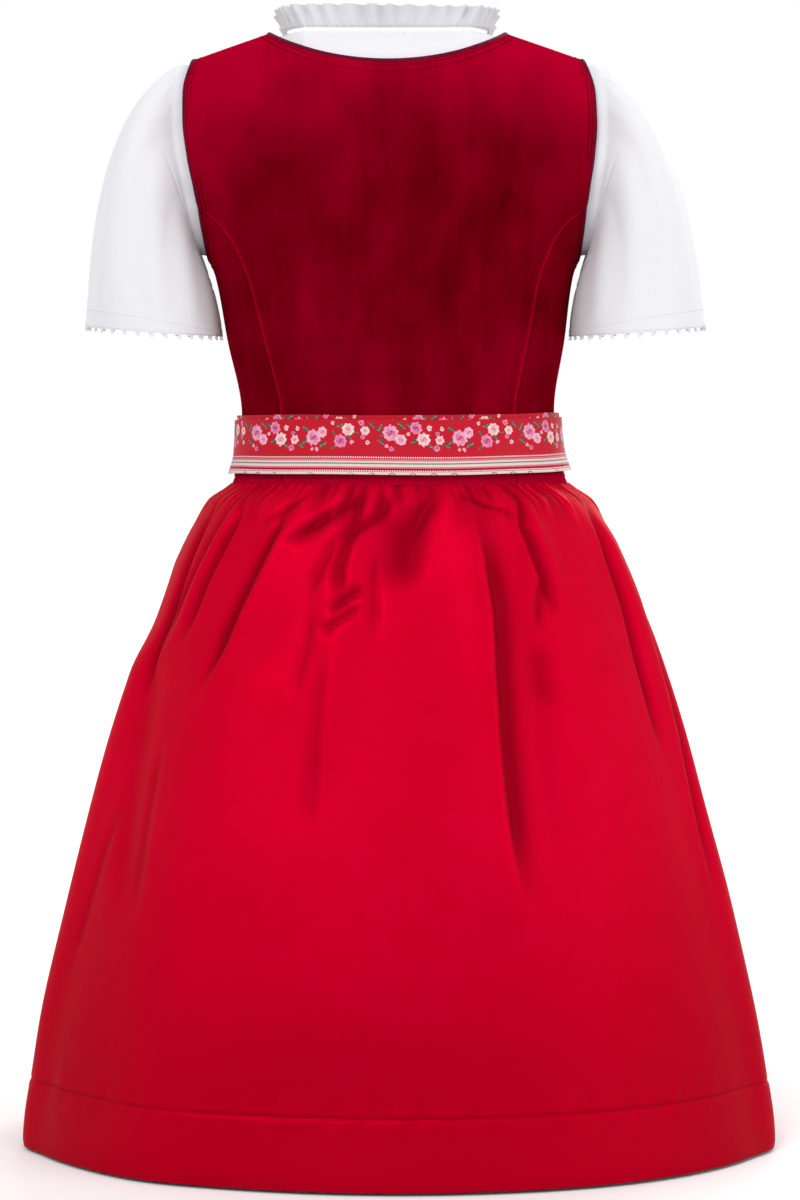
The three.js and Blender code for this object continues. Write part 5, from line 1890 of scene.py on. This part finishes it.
class DIRNDL_OT_ties(bpy.types.Operator):
    """Build the apron's waistband, its two flowered ties over the back, and their knot and ends in front"""

    bl_idname = "dirndl.ties"
    bl_label = "Ties"

    def execute(self, context):
        flowered = finish_of("flowered_satin")
        bands = [
            ("apron_waistband", (97, 263, TIE_TOP, TIE_FOOT - TIE_PEEP / 2), BAND_LIFT, 4, 160,
             (20, 0), (0.30, 0.045)),
            ("tie_inner", (110, -179.4, TIE_TOP - 0.6, TIE_FOOT + 1.0), TIE_INNER_LIFT, 5, 300,
             (37, 4.5), (0.52, 0.048)),
            ("tie_outer", (-110, 179.4, TIE_TOP - TIE_PEEP - 0.6, TIE_FOOT), TIE_OUTER_LIFT, 6, 300,
             (60, 2.6), (0.52, 0.043)),
        ]
        made = {}
        for name, (start, end, top, foot), lift, seed, columns, origin, flat in bands:
            points, side = band_points(start, end, top, foot, lift, seed, columns)
            made[name] = cloth("flowered_" + name, points, TIE_WALL, flowered, side, origin=origin)
            hand_over(made[name], "flowered_satin", name)
        for hand, name in ((1, "tie_end_left"), (-1, "tie_end_right")):
            piece = cloth("flowered_" + name, tie_end_points(hand), TIE_WALL, flowered)
            made[name] = turned_print(piece, hand)
            hand_over(piece, "flowered_satin", name)
        knot = closed_ball("flowered_knot", knot_points(), flowered, (8, 0))
        hand_over(knot, "flowered_satin", "tie_knot")
        return {"FINISHED"}


def turned_print(piece, hand):
    """The print of a hanging end runs down it: its map is turned by a quarter."""
    layer = piece.data.uv_layers["Cloth"]
    places = np.zeros(len(piece.data.loops) * 2, np.float32)
    layer.uv.foreach_get("vector", places)
    places = places.reshape(-1, 2)
    across = places[:, 0].copy()
    width = 2 * TIE_END_HALF * METRE
    down = places[:, 1] + PRINT_SHIFT * (hand + 1)
    made = np.stack([down, np.where(hand > 0, across, width - across)], -1)
    layer.uv.foreach_set("vector", made.astype(np.float32).ravel())
    return piece


# Buttons

BUTTON_RADIUS = 5.5
BUTTON_TOP = -114.0
BUTTON_PITCH = 28.0
BUTTON_COUNT = 6


def button_mesh(name, heights, material):
    """Buttons as one mesh: a profile with a raised rim and a sunk middle, turned round."""
    radii = np.array([0.0, 0.35, 0.62, 0.74, 0.86, 0.95, 1.0, 0.96, 0.8, 0.0]) * BUTTON_RADIUS
    levels = np.array([1.9, 1.9, 1.95, 2.5, 2.75, 2.5, 1.9, 1.0, 0.45, 0.45])
    sides = 40
    turn = np.linspace(0, 2 * np.pi, sides, endpoint=False)
    body = np.stack(
        [
            radii[1:-1, None] * np.cos(turn), -np.repeat(levels[1:-1, None], sides, 1),
            radii[1:-1, None] * np.sin(turn),
        ],
        -1,
    ).reshape(-1, 3)
    rings = len(radii) - 2
    body = np.concatenate([body, [[0, -levels[0], 0], [0, -levels[-1], 0]]])
    quads = np.concatenate([grid_quads(rings - 1, sides, sides), pole_caps(rings, sides)])
    vertices, faces = [], []
    for k, height in enumerate(heights):
        place = np.array([0.0, -torso_front(np.array(height)), height])
        vertices.append(body + place)
        faces.append(quads + k * len(body))
    vertices = np.concatenate(vertices)
    faces = np.concatenate(faces)
    return put_closed(name, vertices, faces, vertices[faces][..., [0, 2]], material, crisp=40)


def button_threads(name, heights, material):
    """The sewing of the buttons: two crossed threads over the middle of each."""
    rows = []
    for height in heights:
        face = -torso_front(np.array(height)) - 1.95
        for slant in (1, -1):
            t = np.linspace(-1, 1, 9)
            arch = -0.35 * (1 - t**2)
            path = np.stack([1.5 * t, face + arch, height + 1.5 * slant * t], -1)
            rows.append((path, np.tile([0.0, -1.0, 0.0], (9, 1))))
    return stitch_rows(name, rows, material, fill=1.0, sink=0.4)


class DIRNDL_OT_buttons(bpy.types.Operator):
    """Build the six buttons of the front and their thread"""

    bl_idname = "dirndl.buttons"
    bl_label = "Buttons"

    def execute(self, context):
        heights = [BUTTON_TOP - BUTTON_PITCH * i for i in range(BUTTON_COUNT)]
        buttons = button_mesh("front_buttons", heights, finish_of("button"))
        hand_over(buttons, "button", *[f"button_{i + 1}" for i in range(BUTTON_COUNT)])
        hand_over(button_threads("button_sewing", heights, finish_of("red_thread")), "button")
        return {"FINISHED"}


# Stage

FLOOR = -0.7935
VIEW_DISTANCE = 2.35
VIEW_HEIGHT = -0.297
AIM_HEIGHT = -0.405
FRAME_HEIGHT = 0.864
SENSOR = 36.0
SKY_LIGHT = 0.84


def floor_material():
    """Matt white paper, seen whiter than the light that it throws back on the cloth."""
    material, tree, shader, _ = start_material("floor")
    mottle = mottled(tree, object_place(tree), 1.5, 30.0, 0.6)
    seen = tree.mix(mottle, (0.95, 0.95, 0.95, 1.0), (0.98, 0.98, 0.98, 1.0))
    camera_ray = tree.node("ShaderNodeLightPath").outputs["Is Camera Ray"]
    tree.feed(shader.inputs["Base Color"], tree.mix(camera_ray, (0.68, 0.68, 0.68, 1.0), seen))
    tree.feed(shader.inputs["Roughness"], tree.span(mottle, 0.0, 1.0, 0.85, 0.95))
    shader.inputs["Specular IOR Level"].default_value = 0.1
    return material


def soft_sun(name, towards, strength, spread):
    """A wide soft light that comes from a direction, as from a large screen far away."""
    lamp = bpy.data.lights.new(name, "SUN")
    lamp.energy = strength
    lamp.angle = math.radians(spread)
    holder = bpy.data.objects.new(name, lamp)
    holder.rotation_euler = (-Vector(towards)).to_track_quat("-Z", "Y").to_euler()
    bpy.context.scene.collection.objects.link(holder)


def studio_world():
    """An even white studio, seen a little brighter than it shines."""
    world = bpy.data.worlds.new("studio")
    world.use_nodes = True
    tree = Tree(world.node_tree)
    sky = world.node_tree.nodes["Background"]
    sky.inputs["Color"].default_value = (1.0, 1.0, 1.0, 1.0)
    seen = tree.node("ShaderNodeLightPath").outputs["Is Camera Ray"]
    tree.feed(sky.inputs["Strength"], tree.span(seen, 0.0, 1.0, SKY_LIGHT, 1.0))
    return world


class DIRNDL_OT_stage(bpy.types.Operator):
    """Build the pale floor, the soft lights and the camera that looks at the back"""

    bl_idname = "dirndl.stage"
    bl_label = "Stage"

    def execute(self, context):
        scene = context.scene
        reach = 30.0
        vertices = np.array([[-reach, -reach, 0], [reach, -reach, 0], [reach, reach, 0], [-reach, reach, 0]])
        mesh = bpy.data.meshes.new("floor")
        mesh.from_pydata((vertices + [0, 0, FLOOR]).tolist(), [], [(0, 1, 2, 3)])
        mesh.materials.append(floor_material())
        floor = bpy.data.objects.new("floor", mesh)
        scene.collection.objects.link(floor)
        scene.world = studio_world()
        soft_sun("key", (0.30, 0.72, 0.60), 0.92, 16.0)
        soft_sun("fill", (-0.75, 0.5, 0.40), 0.68, 50.0)
        soft_sun("front", (-0.35, -0.8, 0.5), 1.1, 50.0)
        lens = bpy.data.cameras.new("camera")
        lens.sensor_fit = "VERTICAL"
        lens.sensor_height = SENSOR
        lens.lens = SENSOR * VIEW_DISTANCE / FRAME_HEIGHT
        lens.clip_end = 60.0
        camera = bpy.data.objects.new("camera", lens)
        camera.location = (0.0, VIEW_DISTANCE, VIEW_HEIGHT)
        turn = Vector((0.0, 0.0, AIM_HEIGHT)) - camera.location
        camera.rotation_euler = turn.to_track_quat("-Z", "Y").to_euler()
        scene.collection.objects.link(camera)
        scene.camera = camera
        scene.view_settings.view_transform = "Standard"
        return {"FINISHED"}


STEPS = (
    "bindings", "bodice", "blouse", "collar", "lace", "sleeves", "skirt", "apron", "ties", "buttons", "stage",
)


class DIRNDL_PT_panel(bpy.types.Panel):
    """Sizes, colours and steps of the dirndl set"""

    bl_idname = "DIRNDL_PT_panel"
    bl_label = "Dirndl"
    bl_space_type = "VIEW_3D"
    bl_region_type = "UI"
    bl_category = "Dirndl"

    def draw(self, context):
        layout = self.layout
        for group in (context.scene.dirndl_sizes, context.scene.dirndl_colours):
            box = layout.box()
            for name in group.__annotations__:
                box.prop(group, name)
        column = layout.column(align=True)
        for step in STEPS:
            column.operator(f"dirndl.{step}")


CLASSES = (
    DirndlSizes, DirndlColours, DIRNDL_OT_bodice, DIRNDL_OT_bindings, DIRNDL_OT_blouse, DIRNDL_OT_collar,
    DIRNDL_OT_sleeves, DIRNDL_OT_lace, DIRNDL_OT_skirt, DIRNDL_OT_apron, DIRNDL_OT_ties, DIRNDL_OT_buttons,
    DIRNDL_OT_stage, DIRNDL_PT_panel,
)


def register():
    for made in CLASSES:
        bpy.utils.register_class(made)
    bpy.types.Scene.dirndl_sizes = PointerProperty(type=DirndlSizes)
    bpy.types.Scene.dirndl_colours = PointerProperty(type=DirndlColours)


def unregister():
    del bpy.types.Scene.dirndl_sizes
    del bpy.types.Scene.dirndl_colours
    for made in reversed(CLASSES):
        bpy.utils.unregister_class(made)


def main():
    register()
    for step in STEPS:
        getattr(bpy.ops.dirndl, step)()


if __name__ == "__main__":
    main()
